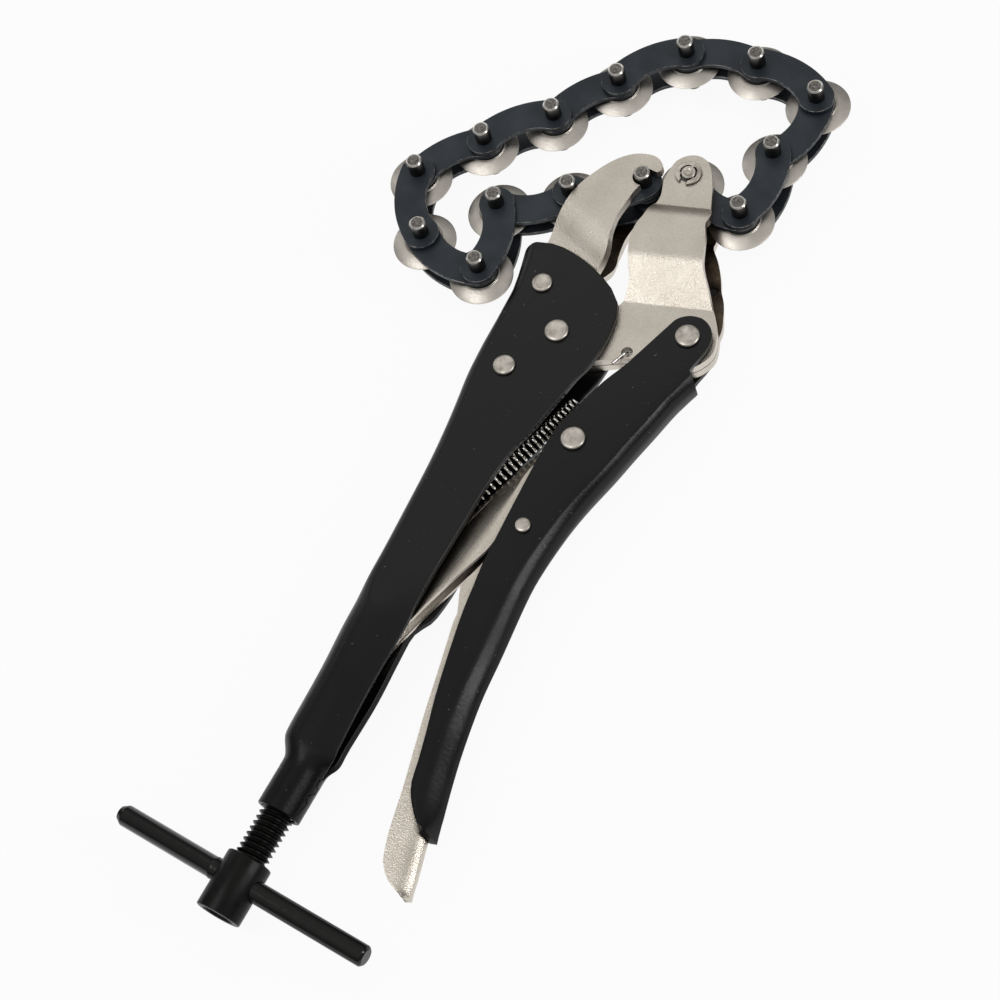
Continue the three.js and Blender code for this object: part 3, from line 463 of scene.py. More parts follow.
def soften(piece, width, segments=3, angle=40, rim=None):
    """Rounds the sharp edges. rim: the number of the rounded edges' finish, where it differs."""
    smooth(piece, angle)
    settings = {"width": width * MM, "segments": segments, "limit_method": "ANGLE",
                "angle_limit": math.radians(angle), "use_clamp_overlap": True}
    if rim is not None:
        settings["material"] = rim
    apply(piece, "BEVEL", **settings)
    smooth(piece, angle)
    apply(piece, "WEIGHTED_NORMAL", keep_sharp=True, weight=80)


def dress(piece, body, nodes, slot, *finishes):
    """Gives a finished piece its body, its CAD nodes and its finishes. slot: not used."""
    settle(piece)
    for number, finish in enumerate(finishes):
        if number < len(piece.data.materials):
            piece.data.materials[number] = finish
        else:
            piece.data.materials.append(finish)
    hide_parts(*nodes)
    if body:
        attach(piece, body)
    return piece


def turned(name, sides, profile, capped=True, angle=None):
    """A turned piece on the upright axis: a ring, extruded and resized through the profile, and
    shaded smooth up to the angle."""
    (radius, height), *rest = profile
    bpy.ops.mesh.primitive_circle_add(
        vertices=sides, radius=radius * MM, location=(0, 0, height * MM), fill_type="NOTHING",
    )
    piece = bpy.context.object
    piece.name = name
    settle(piece)
    edit(piece)
    bpy.ops.mesh.select_mode(type="EDGE")
    pick_all()
    for new_radius, new_height in rest:
        rise = (0, 0, (new_height - height) * MM)
        bpy.ops.mesh.extrude_region_move(TRANSFORM_OT_translate={"value": rise})
        share = new_radius / radius
        bpy.ops.transform.resize(value=(share, share, 1), center_override=(0, 0, new_height * MM))
        radius, height = new_radius, new_height
    pick_all()
    bpy.ops.mesh.remove_doubles(threshold=0.002 * MM)
    if capped:
        pick_all()
        bpy.ops.mesh.fill_holes(sides=0)
    face_outwards()
    leave()
    if angle:
        smooth(piece, angle)
    return piece


def both_ends(upper):
    """A turned profile from its upper half, the same at both ends."""
    return [(radius, -height) for radius, height in upper[::-1]] + upper


def stand(piece, place, turn=(0, 0, 0)):
    piece.rotation_euler = [math.radians(angle) for angle in turn]
    piece.location = place
    settle(piece)
    return piece


def rod(radius, low, high, sides=48):
    return turned("tool", sides, [(radius, low), (radius, high)])


# Shapes in the tool's plane
def reach(radius, heading):
    """How far to the right and up a radius comes, at a heading in degrees."""
    return radius * math.cos(math.radians(heading)), radius * math.sin(math.radians(heading))


def arc(centre, radius, start, end, steps):
    """Points round a centre, between two headings in degrees."""
    offsets = [reach(radius, start + (end - start) * i / steps) for i in range(steps + 1)]
    return [(centre[0] + x, centre[1] + y) for x, y in offsets]


def flowing(points, steps=4):
    """A smooth line through points."""
    ends = [points[0], *points, points[-1]]
    line = []
    for i in range(len(points) - 1):
        a, b, c, d = [Vector(p) for p in ends[i:i + 4]]
        for k in range(steps):
            t = k / steps
            p = (b * 2 + (c - a) * t + (a * 2 - b * 5 + c * 4 - d) * t ** 2
                 + (b * 3 - a - c * 3 + d) * t ** 3) / 2
            line.append(tuple(p))
    return [*line, tuple(points[-1])]


def along(rows, place, column=1):
    """A value read off rows that start with a place, linear between them."""
    if place <= rows[0][0]:
        return rows[0][column]
    for before, after in zip(rows, rows[1:]):
        if place <= after[0]:
            share = (place - before[0]) / (after[0] - before[0])
            return before[column] + share * (after[column] - before[column])
    return rows[-1][column]


# The levels of the tool's stack, and its pivots
LINK_THICKNESS = 1.35
INNER_LEVEL = 2.1
OUTER_LEVEL = 3.75
JAW_THICKNESS = 2.8
JAW_BASE = 0.15
JAW_HOOK = 5.4
JAW_EAR = 3.75
SHELL_HALF = 5.25
HANDLE_SHEET = 2.0
NESTED_HALF = 2.95
JAW_PIVOT = (0, 97)
LEVER_PIVOT = (33.7, 109.6)
TOGGLE_PIVOT = (20.1, 70)
RELEASE_PIVOT = (20.3, 42.21)
ANCHOR_PIN = (10.4, 154.9)
HOOK_PIN = (-0.546, 148.543)
UPPER_HOOK_RIVET = (-11.1, 108.6)
LOWER_HOOK_RIVET = (-8.1, 81.9)
SPRING_HOLE = (19.9, 99.9)


# Jaws
def rounded_bends(bends, radius):
    """Places and levels along a jaw, with each bend rounded."""
    table = []
    for place, _ in bends[1:-1]:
        for share in (-1, -0.5, 0, 0.5, 1):
            spot = place + share * radius
            window = [spot + radius * k / 8 for k in range(-8, 9)]
            table.append([spot, sum(along(bends, w) for w in window) / len(window)])
    return [bends[0], *table, bends[-1]]


def jaw_plate(name, outline, bends, rounding, turn, holes):
    """A flat blank, scored across the bends, lifted into its joggles, thickened and punched. turn
    is how far the bends lean, in degrees."""
    blank = trace(name, [at(x, y, 0) for x, y in outline])
    table = rounded_bends(bends, rounding)
    way = Vector((-math.sin(math.radians(turn)), math.cos(math.radians(turn)), 0))
    root = at(*JAW_PIVOT)
    edit(blank)
    for place, _ in table[1:-1]:
        pick_all()
        bpy.ops.mesh.bisect(plane_co=root + way * place * MM, plane_no=way)
    leave()
    places = []
    for point in blank.data.vertices:
        lift = along(table, (point.co - root).dot(way) / MM)
        places.append(point.co + Vector((0, 0, lift * MM)))
    put(blank, places)
    edit(blank)
    face_outwards()
    leave()
    thicken(blank, JAW_THICKNESS, use_even_offset=True)
    for place, radius in holes:
        carve(blank, stand(rod(radius, -20, 20), at(*place)))
    soften(blank, 0.4)
    return blank


def shade_inside(plate, facing):
    """The face that looks at the other plate of the pair gets the painted shade."""
    flat = 0.75
    plate.data.materials.append(SHADE_NICKEL)
    for face in plate.data.polygons:
        if face.normal.z * facing > flat and face.material_index == 0:
            face.material_index = len(plate.data.materials) - 1


hook_outline = [
    *flowing([(2.58, 151.2), (3.4, 152.26), (2.81, 154.13), (0.58, 155.48), (-1.99, 155.6),
              (-5.69, 154.43), (-8.79, 152.09), (-11.49, 148.8), (-13.42, 145.29), (-15.17, 141.48),
              (-16.41, 137.09), (-17.0, 131.41), (-16.99, 125.12), (-17.1, 120.42)]),
    (-16.17, 105.79), (-15.35, 93.48), (-15.0, 82.94), (-14.18, 76.78), (-9.36, 74.72),
    (-3.53, 76.48),
    *arc(JAW_PIVOT, 8.1, -111.6, -255.6, 20),
    *flowing([(-2.93, 111.66), (0.3, 118.08), (1.3, 123.35), (0.9, 126.4), (-0.3, 129.83),
              (-1.12, 134.77), (-0.82, 139.21), (-0.48, 143.29)]),
    *arc(HOOK_PIN, 2.85, -75.6, -270, 16),
]
FIXED_BENDS = [[-60, JAW_BASE], [19.6, JAW_BASE], [28.9, JAW_HOOK], [80, JAW_HOOK]]
front = jaw_plate("hook_plate_front", hook_outline, FIXED_BENDS, rounding=3.6, turn=-21,
                  holes=[(UPPER_HOOK_RIVET, 2.5), (LOWER_HOOK_RIVET, 2.5)])
rear = mirrored(front, "hook_plate_rear")
shade_inside(dress(front, "handle", ["fixed_jaw_front"], "satin_nickel", JAW_NICKEL), -1)
shade_inside(dress(rear, "handle", ["fixed_jaw_rear"], "satin_nickel", JAW_NICKEL), 1)

movable_outline = [
    *flowing([(2.5, 89.6), (8.03, 91.35), (12.85, 93.98), (19.91, 97.77), (26.95, 100.33),
              (33.39, 100.98), (37.88, 102.27), (40.57, 105.67), (41.48, 109.19), (40.19, 113.82),
              (38.01, 117.54), (35.63, 120.56), (31.45, 126.03), (28.0, 130.38), (25.94, 134.88),
              (24.28, 138.84), (22.79, 141.74), (23.11, 143.87), (22.09, 145.54), (20.99, 148.1),
              (18.43, 153.63), (15.41, 158.63), (13.16, 160.68), (10.08, 161.2), (7.38, 160.11),
              (5.39, 157.8), (4.81, 154.78), (4.88, 150.48), (6.43, 145.81), (6.29, 141.95),
              (5.58, 137.54), (5.06, 134.4), (5.33, 130.89), (6.28, 127.67), (8.22, 123.79),
              (10.27, 120.14), (11.31, 113.2), (9.63, 110.81), (6.1, 107.26)], 3),
    *arc(JAW_PIVOT, 7.8, 75.6, 280, 28),
]
MOVABLE_BENDS = [
    [-60, JAW_BASE], [13.2, JAW_BASE], [26.0, JAW_HOOK], [38.6, JAW_HOOK], [41.4, JAW_EAR],
    [90, JAW_EAR],
]
# The rear plate's pocket, a blind hole whose near-black finish is painted shade, and how far beside
# it the plate is wider
POCKET = (29.9, 129.0)
POCKET_RADIUS = 1.8
POCKET_TOP = 5.2
WIDENING = 3.9
WIDENING_REACH = 14
MOVABLE_ROUNDING = 0.9
MOVABLE_TURN = 16
JAW_HOLES = [(JAW_PIVOT, 2.9), (LEVER_PIVOT, 2.9), (ANCHOR_PIN, 2.6), (SPRING_HOLE, 1.6)]
front = jaw_plate("moving_jaw_front", movable_outline, MOVABLE_BENDS, MOVABLE_ROUNDING,
                  MOVABLE_TURN, JAW_HOLES)
rear_outline = [
    (x + WIDENING * max(0, 1 - ((y - POCKET[1]) / WIDENING_REACH) ** 2) * (x > 20), y)
    for x, y in movable_outline
]
template = jaw_plate("template", rear_outline, MOVABLE_BENDS, MOVABLE_ROUNDING, MOVABLE_TURN,
                     JAW_HOLES)
pocket = rod(POCKET_RADIUS, -20, POCKET_TOP)
pocket.data.materials.append(POCKET_SHADE)
carve(template, stand(pocket, at(*POCKET)))
rear = mirrored(template, "moving_jaw_rear")
bpy.data.objects.remove(template)
shade_inside(dress(front, "movable_jaw", ["movable_jaw_front"], "satin_nickel", JAW_NICKEL), -1)
shade_inside(dress(rear, "movable_jaw", ["movable_jaw_rear"], "satin_nickel", JAW_NICKEL, POCKET_SHADE), 1)


# Chain
def link_outline(pitch, belly=7.3, waist=1.8, end=5.05):
    """A link plate: round ends, a belly away from the pipe and a waist towards it."""
    middle = pitch / 2
    belly_centre = (middle ** 2 - (belly - end) ** 2) / (2 * (belly - end))
    waist_radius = (middle ** 2 + waist ** 2 - end ** 2) / (2 * (end - waist))
    waist_centre = waist_radius + waist
    belly_turn = math.degrees(math.atan2(belly_centre, middle))
    waist_turn = math.degrees(math.atan2(waist_centre, middle))
    return [
        *arc((0, 0), end, waist_turn, 180 + belly_turn, 16),
        *arc((middle, belly_centre), belly + belly_centre,
             180 + belly_turn, 360 - belly_turn, 16)[1:-1],
        *arc((pitch, 0), end, -belly_turn, 180 - waist_turn, 16),
        *arc((middle, waist_centre), waist_radius, -waist_turn, waist_turn - 180, 14)[1:-1],
    ]


def link_plate(name, pitch, level):
    plate = trace(name, [Vector((x, y, level)) * MM for x, y in link_outline(pitch)])
    thicken(plate, LINK_THICKNESS)
    plate.data.materials.append(BLUED)
    plate.data.materials.append(EDGE)
    soften(plate, 0.14, 2, rim=1)
    return plate


def twin_plates(name, pitch, level):
    upper = link_plate(name, pitch, level)
    return join(upper, mirrored(upper, "lower plate", (0, 0, 0)))


def long_pin():
    """A pin with a bright chamfered rim and a dull, slightly dished end."""
    half, radius, chamfer, dish = 10.35, 2.3, 0.33, 1.7
    upper = [(radius, half - chamfer), (radius - chamfer, half), (1.92, half),
             (1.75, half - 0.05)]
    pin = turned("pin", 40, both_ends(upper), angle=30)
    for finish in (PIN, PIN_RIM, PIN_END):
        pin.data.materials.append(finish)
    for face in pin.data.polygons:
        height = abs(face.center.z) / MM
        side = face.center.xy.length / MM
        if height > half - chamfer:
            face.material_index = 1 if side > dish else 2
    return pin


def bushed_link(name, pitch):
    link = twin_plates(name, pitch, INNER_LEVEL)
    for place in (Vector((0, 0, 0)), Vector((pitch, 0, 0)) * MM):
        barrel = turned("bushing", 40, [
            (2.6, -3.35), (3.25, -3.35), (3.4, -3.2), (3.4, 3.2), (3.25, 3.35), (2.6, 3.35),
            (2.6, -3.35),
        ], capped=False, angle=30)
        barrel.data.materials.append(BLUED)
        carve(link, stand(rod(3.0, -12, 12, 40), place))
        join(link, stand(barrel, place))
    return link


def pinned_link(name, pitch):
    link = twin_plates(name, pitch, OUTER_LEVEL)
    return join(link, *[stand(long_pin(), Vector((x, 0, 0)) * MM) for x in (0, pitch)])


def cutting_wheel():
    """A hardened disc: bored hub, a collar with a turned fillet, two cones and a sharp rim."""
    bore, hub, rim, half = 3.72, 5.3, 9.14, 1.8
    side = [(bore + 0.15, half), (hub, half), (hub + 0.1, half - 0.08), (hub + 0.16, half - 0.34),
            (hub + 0.3, half - 0.44), (hub + 0.5, half - 0.48), (rim - 0.35, 0.26), (rim, 0.06)]
    back = [(r, -z) for r, z in side[::-1]]
    loop = [(bore, -half + 0.15), (bore, half - 0.15), *side, *back, (bore, -half + 0.15)]
    return turned("wheel", 96, loop, capped=False, angle=14)


CHAIN_PITCH = 21
ANCHOR_PITCH = 18.9
LINKS = 14
pin_places = []
for number in range(1, LINKS + 1):
    low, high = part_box(f"wheel_{number:02d}")
    pin_places.append((low + high) / 2)
low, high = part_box("end_washer_front")
last = (low + high) / 2
pin_places.append(Vector((last.x, last.y, TOOL_ZERO.z)))

patterns = {
    "anchor": bushed_link("anchor link", ANCHOR_PITCH),
    "inner": bushed_link("inner link", CHAIN_PITCH),
    "outer": pinned_link("outer link", CHAIN_PITCH),
    "wheel": cutting_wheel(),
}
for i in range(LINKS):
    start, end = pin_places[i], pin_places[i + 1]
    heading = math.degrees(math.atan2(end.y - start.y, end.x - start.x))
    kind = "anchor" if i == 0 else "inner" if i % 2 == 0 else "outer"
    node = f"link_{i + 1:02d}"
    place = Vector((start.x, start.y, TOOL_ZERO.z))
    link = stand(copy(patterns[kind], f"chain_{node}"), place, (0, 0, heading))
    dress(link, BODY_OF[node], [node], "blued_steel")
    node = f"wheel_{i + 1:02d}"
    wheel = stand(copy(patterns["wheel"], f"cutting_{node}"), place, (0, 0, heading))
    dress(wheel, BODY_OF[node], [node], "bright_nickel", WHEEL)
for piece in patterns.values():
    bpy.data.objects.remove(piece)


# Rivets
def rivet(name, place, head, shank, node, body):
    """A rivet with two low heads, each a little flattened by the press. head and shank are their
    diameters."""
    radius, rim, rise = head / 2, SHELL_HALF + 0.06, 1.05
    dome = [(0.96, 0), (1.0, 0.12), (0.995, 0.55), (0.95, 0.80), (0.87, 0.93), (0.6, 1.0),
            (0.22, 1.02), (0.06, 1.02)]
    upper = [(shank / 2, rim)] + [(radius * r, rim + rise * z) for r, z in dome]
    piece = turned(name, 40, both_ends(upper), angle=50)
    stand(piece, at(*place))
    return dress(piece, body, [node], "nickel_rivets", RIVET)


rivet("upper_hook_rivet", UPPER_HOOK_RIVET, 5.8, 4.4, "rivet_fixed_jaw_upper", "handle")
rivet("lower_hook_rivet", LOWER_HOOK_RIVET, 6.2, 4.4, "rivet_fixed_jaw_lower", "handle")
rivet("jaw_pivot_rivet", JAW_PIVOT, 6.8, 5.2, "rivet_jaw_pivot", "handle")
rivet("lever_pivot_rivet", LEVER_PIVOT, 6.8, 5.2, "rivet_lever_pivot", "movable_jaw")
rivet("toggle_pivot_rivet", TOGGLE_PIVOT, 6.8, 5.2, "rivet_toggle_pivot", "lever")
rivet("release_pivot_rivet", RELEASE_PIVOT, 4.3, 2.8, "rivet_release_pivot", "lever")


# Folded channels: one sheet from the front flange's open edge round the spine to the rear flange's.
# A rung is a line across a flange: its open edge, its knee, where the fold starts, if that isn't
# left to the fold's width, and the spine. A rung whose spine is None crosses an ear, which stands
# past the end of the fold.
FLANGE_COLUMNS = 8
FOLD_COLUMNS = 7


def sheet_piece(name, rows, wall, edge_width, gone=None, thickness=None, rim=None):
    """A grid put to its places, row by row, and thickened inwards. gone: which squares are missing.
    thickness: each row's share of the wall."""
    columns = len(rows[0])
    bpy.ops.mesh.primitive_grid_add(
        x_subdivisions=columns - 1, y_subdivisions=len(rows) - 1, size=100 * MM,
    )
    shell = bpy.context.object
    shell.name = name
    put(shell, [place for row in rows for place in row])
    if shell.data.polygons[1 + len(rows) // 2 * (columns - 1)].normal.z < 0:
        shell.data.flip_normals()
    if gone:
        edit(shell)
        pick_faces(shell, lambda face: gone(*divmod(face.index, columns - 1)))
        bpy.ops.mesh.delete(type="FACE")
        leave()
    settings = {"thickness": wall * MM, "offset": -1, "use_even_offset": True}
    if thickness:
        group = shell.vertex_groups.new(name="sheet thickness")
        for number in range(len(shell.data.vertices)):
            group.add([number], thickness[number // columns], "REPLACE")
        settings["vertex_group"] = group.name
    apply(shell, "SOLIDIFY", **settings)
    soften(shell, edge_width, angle=50, rim=rim)
    return shell


fold_turns = [math.pi * i / (2 * FOLD_COLUMNS) for i in range(FOLD_COLUMNS + 1)]
ROUND_FOLD = [(math.sin(turn), 1 - math.cos(turn)) for turn in fold_turns]
SLOPED_FOLD = [(0, 0), (0.09, 0.05), (0.22, 0.20), (0.40, 0.42), (0.58, 0.62), (0.76, 0.79),
               (0.92, 0.91), (1, 1)]
ARCHED_FOLD = [(0, 0), (0.15, 0.02), (0.3, 0.075), (0.45, 0.175), (0.6, 0.32), (0.75, 0.5),
               (0.9, 0.76), (1, 1)]


def rung_places(rung, half, crown, folds, shape):
    """Places along a rung, from the front open edge round to the rear one."""
    edge, *knee, spine = (Vector(p) if p else None for p in rung)
    width, depth = (along(folds, spine.y), along(folds, spine.y, 2)) if spine else (0, 0)
    if knee:
        knee = knee[0]
    else:
        across = edge - spine
        knee = spine + across * min(width / across.length, 0.8)
    front = []
    for i in range(FLANGE_COLUMNS):
        share = i / FLANGE_COLUMNS
        front.append((edge + (knee - edge) * share, half - crown * (1 - share) ** 2))
    for share, drop in shape:
        place = knee + (spine - knee) * share if spine else knee
        front.append((place, half - depth * drop))
    return [at(*p, z) for p, z in front] + [at(*p, -z) for p, z in front[::-1]]


def channel(name, rungs, folds, half, wall, edge_width, crown=0, rim=None, shape=ROUND_FOLD):
    """A folded channel. folds: rows of height, with the fold's width and depth there. half: how far
    its flanges are from the middle plane. crown: how far they lean in at their open edges."""
    folded = [bool(rung[-1]) for rung in rungs]
    columns = 2 * (FLANGE_COLUMNS + FOLD_COLUMNS + 1) - 1

    def gone(band, column):
        in_fold = FLANGE_COLUMNS <= column < columns - FLANGE_COLUMNS
        return in_fold and not (folded[band] and folded[band + 1])

    rows = [rung_places(rung, half, crown, folds, shape) for rung in rungs]
    return sheet_piece(name, rows, wall, edge_width, gone, rim=rim)


def folded_rungs(edge, spine, heights):
    """Level rungs between an edge and a spine, each a list of places going up."""
    edge_rows = [[y, x] for x, y in edge]
    spine_rows = [[y, x] for x, y in spine]
    return [((along(edge_rows, y), y), (along(spine_rows, y), y)) for y in heights]


def round_end(centre, radius, headings, side=1):
    """Rungs across a round end or ear. side: where the open edge lies, 1 right or -1 left."""
    x, y = centre
    offsets = [reach(radius, heading) for heading in headings]
    return [((x + side * across, y + rise), (x - side * across, y + rise), None)
            for across, rise in offsets]


def stations(low, high, count):
    return [low + (high - low) * i / count for i in range(count + 1)]


# Lever
lever_spine = flowing([
    (39.1, -33.2), (36.01, -21.07), (33.81, -10.04), (32.6, -2.08), (31.61, 8.95),
    (30.09, 23.05), (29.61, 29.94), (29.74, 36.07), (30.2, 42.65), (30.99, 49.85), (32.4, 57.51),
    (34.4, 65.94), (36.01, 74.06), (37.79, 82.03), (39.42, 89.99), (40.7, 94.28),
])
lever_edge = flowing([
    (28.5, -29.0), (27.8, -25.82), (25.8, -18.47), (22.3, -6.37), (18.1, 12.17), (16.61, 21.82),
    (15.62, 28.71), (15.31, 34.54), (14.45, 49.85), (13.86, 64.87), (14.41, 72.83), (16.41, 79.88),
    (19.03, 88.4), (21.8, 94.6),
])
lever_rungs = [
    ((36.0, -40.2), (41.6, -42.0)), ((34.8, -39.3), (41.35, -41.1)),
    ((33.6, -38.1), (41.0, -40.0)), ((32.4, -36.8), (40.65, -38.7)),
    ((31.2, -35.3), (40.2, -37.1)), ((30.1, -33.6), (39.75, -35.3)),
    ((29.1, -31.4), (39.1, -33.0)),
    *folded_rungs(lever_edge, lever_spine, stations(-28.8, 94, 46)),
    ((22.6, 96.8), (38.1, 97.1), (41.3, 96.1)), ((23.3, 99.0), (38.6, 99.2), (41.75, 97.2)),
    ((23.9, 100.7), (38.95, 100.8), (41.95, 97.95)),
    ((24.6, 102.8), (39.2, 102.7), None), ((25.4, 105.2), (39.75, 105.2), None),
    ((26.2, 107.6), (40.15, 107.6), None), ((26.86, 109.6), (40.3, 109.6), None),
    ((27.43, 111.3), (40.07, 111.3), None),
    *round_end(LEVER_PIVOT, 6.6, (28.8, 38, 47, 56, 64, 71, 77, 82), side=-1),
]
LEVER_FOLDS = [[-42, 9, 5.15], [-24, 8.6, 5.15], [0, 6.8, 5.1], [22, 5.8, 5.0], [45, 4.4, 4.6],
               [60, 3.4, 4.2], [96, 3.2, 3.8]]
shell = channel("lever_pressing", lever_rungs, LEVER_FOLDS, SHELL_HALF, wall=1.6,
                edge_width=0.35, crown=0.3, rim=1, shape=ARCHED_FOLD)
dress(shell, "lever", ["lever_shell"], "black_paint", LEVER_PAINT, PAINT_EDGE_WEAR_AND_HIGHLIGHT)

# Release lever, nested in the lever
release_spine = flowing([
    (42.05, -52.4), (39.99, -45.12), (37.2, -35.01), (33.61, -21.07), (31.41, -10.04),
    (30.2, -2.08), (29.21, 8.95), (27.69, 23.05), (27.21, 29.94), (27.34, 36.07), (27.75, 42.21),
])
release_edge = flowing([
    (32.4, -52.33), (29.92, -45.43), (27.21, -33.64), (25.21, -26.13), (21.71, -12.65),
    (19.0, -0.85), (16.1, 11.1), (15.77, 14.01), (13.42, 19.06), (12.8, 21.82), (14.89, 29.63),
    (17.4, 42.21),
])
release_rungs = [
    ((39.6, -57.1), (43.3, -57.5)), ((37.8, -56.7), (43.15, -57.0)),
    ((36.1, -55.95), (42.9, -56.1)), ((34.4, -54.6), (42.5, -54.6)),
    *folded_rungs(release_edge, release_spine, stations(-52.3, 42.2, 40)),
    ((17.75, 43.6), (27.9, 43.6)), ((18.5, 44.5), (28.0, 44.8)),
    ((19.5, 44.98), (28.15, 45.9)), ((20.5, 45.1), (28.3, 46.8)),
]
RELEASE_FOLDS = [[-58, 5.4, 2.85], [-30, 4.6, 2.85], [10, 2.6, 2.4]]
shell = channel("release_pressing", release_rungs, RELEASE_FOLDS, NESTED_HALF, wall=1.2,
                edge_width=0.3)
dress(shell, "release", ["release_lever"], "satin_nickel", NICKEL)

# Toggle link, drawn along its own length from the tip and leant to where it lies. Its fold is a
# slope, with a knee of its own on each rung.
TOGGLE_TIP = Vector((0, -6))
TOGGLE_LENGTH = math.dist(TOGGLE_PIVOT, TOGGLE_TIP)
TOGGLE_FOLD_ENDS = (1.6, TOGGLE_LENGTH - 2)
toggle_axis = (Vector(TOGGLE_PIVOT) - TOGGLE_TIP).normalized()
toggle_across = Vector((toggle_axis.y, -toggle_axis.x))
TOGGLE_FOLDS = [[-10, 3, 2.8], [90, 3, 2.8]]


def on_toggle(rung):
    return tuple(p and tuple(TOGGLE_TIP + toggle_across * p[0] + toggle_axis * p[1]) for p in rung)


toggle_spine = flowing([(-3.75, 1.6), (-4.6, 9.4), (-6.6, 19.7), (-7.8, 28.7), (-8.3, 38),
                        (-8.2, 50), (-7.6, 60), (-6.9, 70), (-6.3, TOGGLE_FOLD_ENDS[1])])
toggle_knee = flowing([(1.9, 1.6), (1.7, 9.4), (1.75, 19.7), (2.15, 28.7), (2.0, 34), (1.1, 41),
                       (-0.4, 49), (-2.4, 58), (-4.0, 65), (-3.6, TOGGLE_FOLD_ENDS[1])])
toggle_edge = flowing([(2.45, 1.6), (2.0, 9.4), (2.04, 19.7), (2.45, 28.7), (2.95, 35.4),
                       (3.5, 41.5), (3.0, 46), (3.0, 56.2), (5.28, 67.6),
                       (5.6, TOGGLE_FOLD_ENDS[1])])
toggle_heights = stations(*TOGGLE_FOLD_ENDS, 40)
toggle_rungs = [
    *round_end((-0.6, 0), 3.1, (-82, -68, -52, -34, -14)),
    *[(edge, knee, spine) for (edge, spine), (knee, _) in zip(
        folded_rungs(toggle_edge, toggle_spine, toggle_heights),
        folded_rungs(toggle_knee, toggle_spine, toggle_heights),
    )],
    *round_end((0, TOGGLE_LENGTH), 6, (-10, 8, 26, 42, 56, 68, 78)),
]
toggle_rungs = [on_toggle(rung) for rung in toggle_rungs]
shell = channel("toggle_pressing", toggle_rungs, TOGGLE_FOLDS, NESTED_HALF, wall=1.0,
                edge_width=0.25, shape=SLOPED_FOLD)
dress(shell, "toggle", ["toggle_link"], "satin_nickel", NICKEL)


# Handle: one sheet, folded, swelled round the screw and rolled into a neck. Rows from the foot up:
# height, spine, front edge, rear edge, swell and how far the sheet has closed into the neck.
HANDLE_ROWS = [
    (-53.1, -6.05, 6.05, 6.05, 1, 1), (-44.0, -6.05, 6.05, 6.05, 1, 1),
    (-42.2, -6.2, 6.4, 6.05, 1, 1), (-40.6, -6.75, 6.9, 6.1, 1, 0.98),
    (-39.2, -7.5, 7.4, 6.2, 1, 0.85), (-37.6, -8.2, 7.75, 6.35, 1, 0.5),
    (-35.8, -8.75, 7.8, 6.5, 1, 0.15), (-33.8, -9.15, 7.6, 6.5, 1, 0),
    (-29.4, -9.45, 7.2, 6.3, 1, 0), (-15.6, -9.9, 6.41, 6.48, 1, 0),
    (-2.5, -10.91, 6.19, 5.69, 1, 0), (5.4, -11.2, 6.12, 5.47, 0.85, 0),
    (10.0, -11.41, 5.58, 7.74, 0.35, 0), (14.1, -11.59, 5.33, 8.57, 0, 0),
    (21.9, -11.88, 5.11, 9.07, 0, 0), (34.05, -12.6, 5.26, 8.28, 0, 0),
    (48.04, -13.5, 5.4, 6.7, 0, 0), (59.4, -14.76, 6.34, 7.63, 0, 0),
    (67.3, -15.91, 8.35, 9.65, 0, 0), (76.8, -17.46, 10.26, 11.59, 0, 0),
    (86.45, -18.22, 11.95, 13.25, 0, 0),
]
HEAD_TOP = [
    [-22.3, 116.6], [-21.4, 118.2], [-20.0, 119.6], [-16.0, 121.0], [-11.8, 121.3], [-7.0, 120.6],
    [-2.0, 119.3], [3.0, 117.3], [7.5, 114.8], [11.0, 111.6],
]
HEAD_RIGHT = [[86.45, 11.95], [91.5, 13.5], [97.0, 14.0], [102.5, 13.75], [107.5, 12.9],
              [111.6, 11.0]]
HEAD_SPINE = [[86.45, -18.22], [95.2, -18.5], [103.9, -18.9], [110.0, -20.1], [117.0, -22.0]]
HEAD_STEPS = 12
NECK_RADIUS = 6.05
NECK_SEAM = 0.22
CRIMPS = (-46.2, -41.7)
NECK_THINNING = 0.425
SEAM_LEAN = 26
CRIMP_RADIUS = 1.25
SWELL_HALF = 6.9
SWELL_EASING = 1.35
FOLD_RADIUS = 3.2
SWELL_ROUNDING = 3.4
TONGUE_PLACE = (-8.1, 18.9)
TONGUE_SIZE = (5.8, 1.6, 3.2)


def neck_ring(count, y):
    """The rolled neck. Its edges meet in a seam, locked by two round tabs."""
    gap = math.asin(NECK_SEAM / 2 / NECK_RADIUS)
    lean = math.radians(SEAM_LEAN) * max(0, min(1, (-44 - y) / 9))
    tab = max([0] + [math.sqrt(max(0, CRIMP_RADIUS ** 2 - (y - crimp) ** 2)) for crimp in CRIMPS])
    start = lean + (tab + CRIMP_RADIUS * 0.3 * (tab > 0)) / NECK_RADIUS
    turns = [start + gap + (2 * math.pi - 2 * gap) * i / (count - 1) for i in range(count)]
    return [(NECK_RADIUS * math.cos(turn), NECK_RADIUS * math.sin(turn)) for turn in turns]


def handle_section(spine, front, rear, swell):
    """Places across the folded sheet, from the front flange's edge round to the rear one's."""
    half = SHELL_HALF + swell * (SWELL_HALF - SHELL_HALF)
    corner = FOLD_RADIUS + swell * SWELL_ROUNDING
    section = []
    for edge, side in ((front, 1), (rear, -1)):
        run = []
        for i in range(FLANGE_COLUMNS):
            u = i / FLANGE_COLUMNS
            drop = (half - SHELL_HALF) * SWELL_EASING * (1 - u) ** 2
            run.append((edge + (spine + corner - edge) * u, side * (half - drop)))
        for i in range(FOLD_COLUMNS + 1):
            turn = math.radians(90 * i / FOLD_COLUMNS)
            run.append((spine + corner - corner * math.sin(turn),
                        side * (half - corner + corner * math.cos(turn))))
        section += run if side > 0 else run[::-1]
    return section


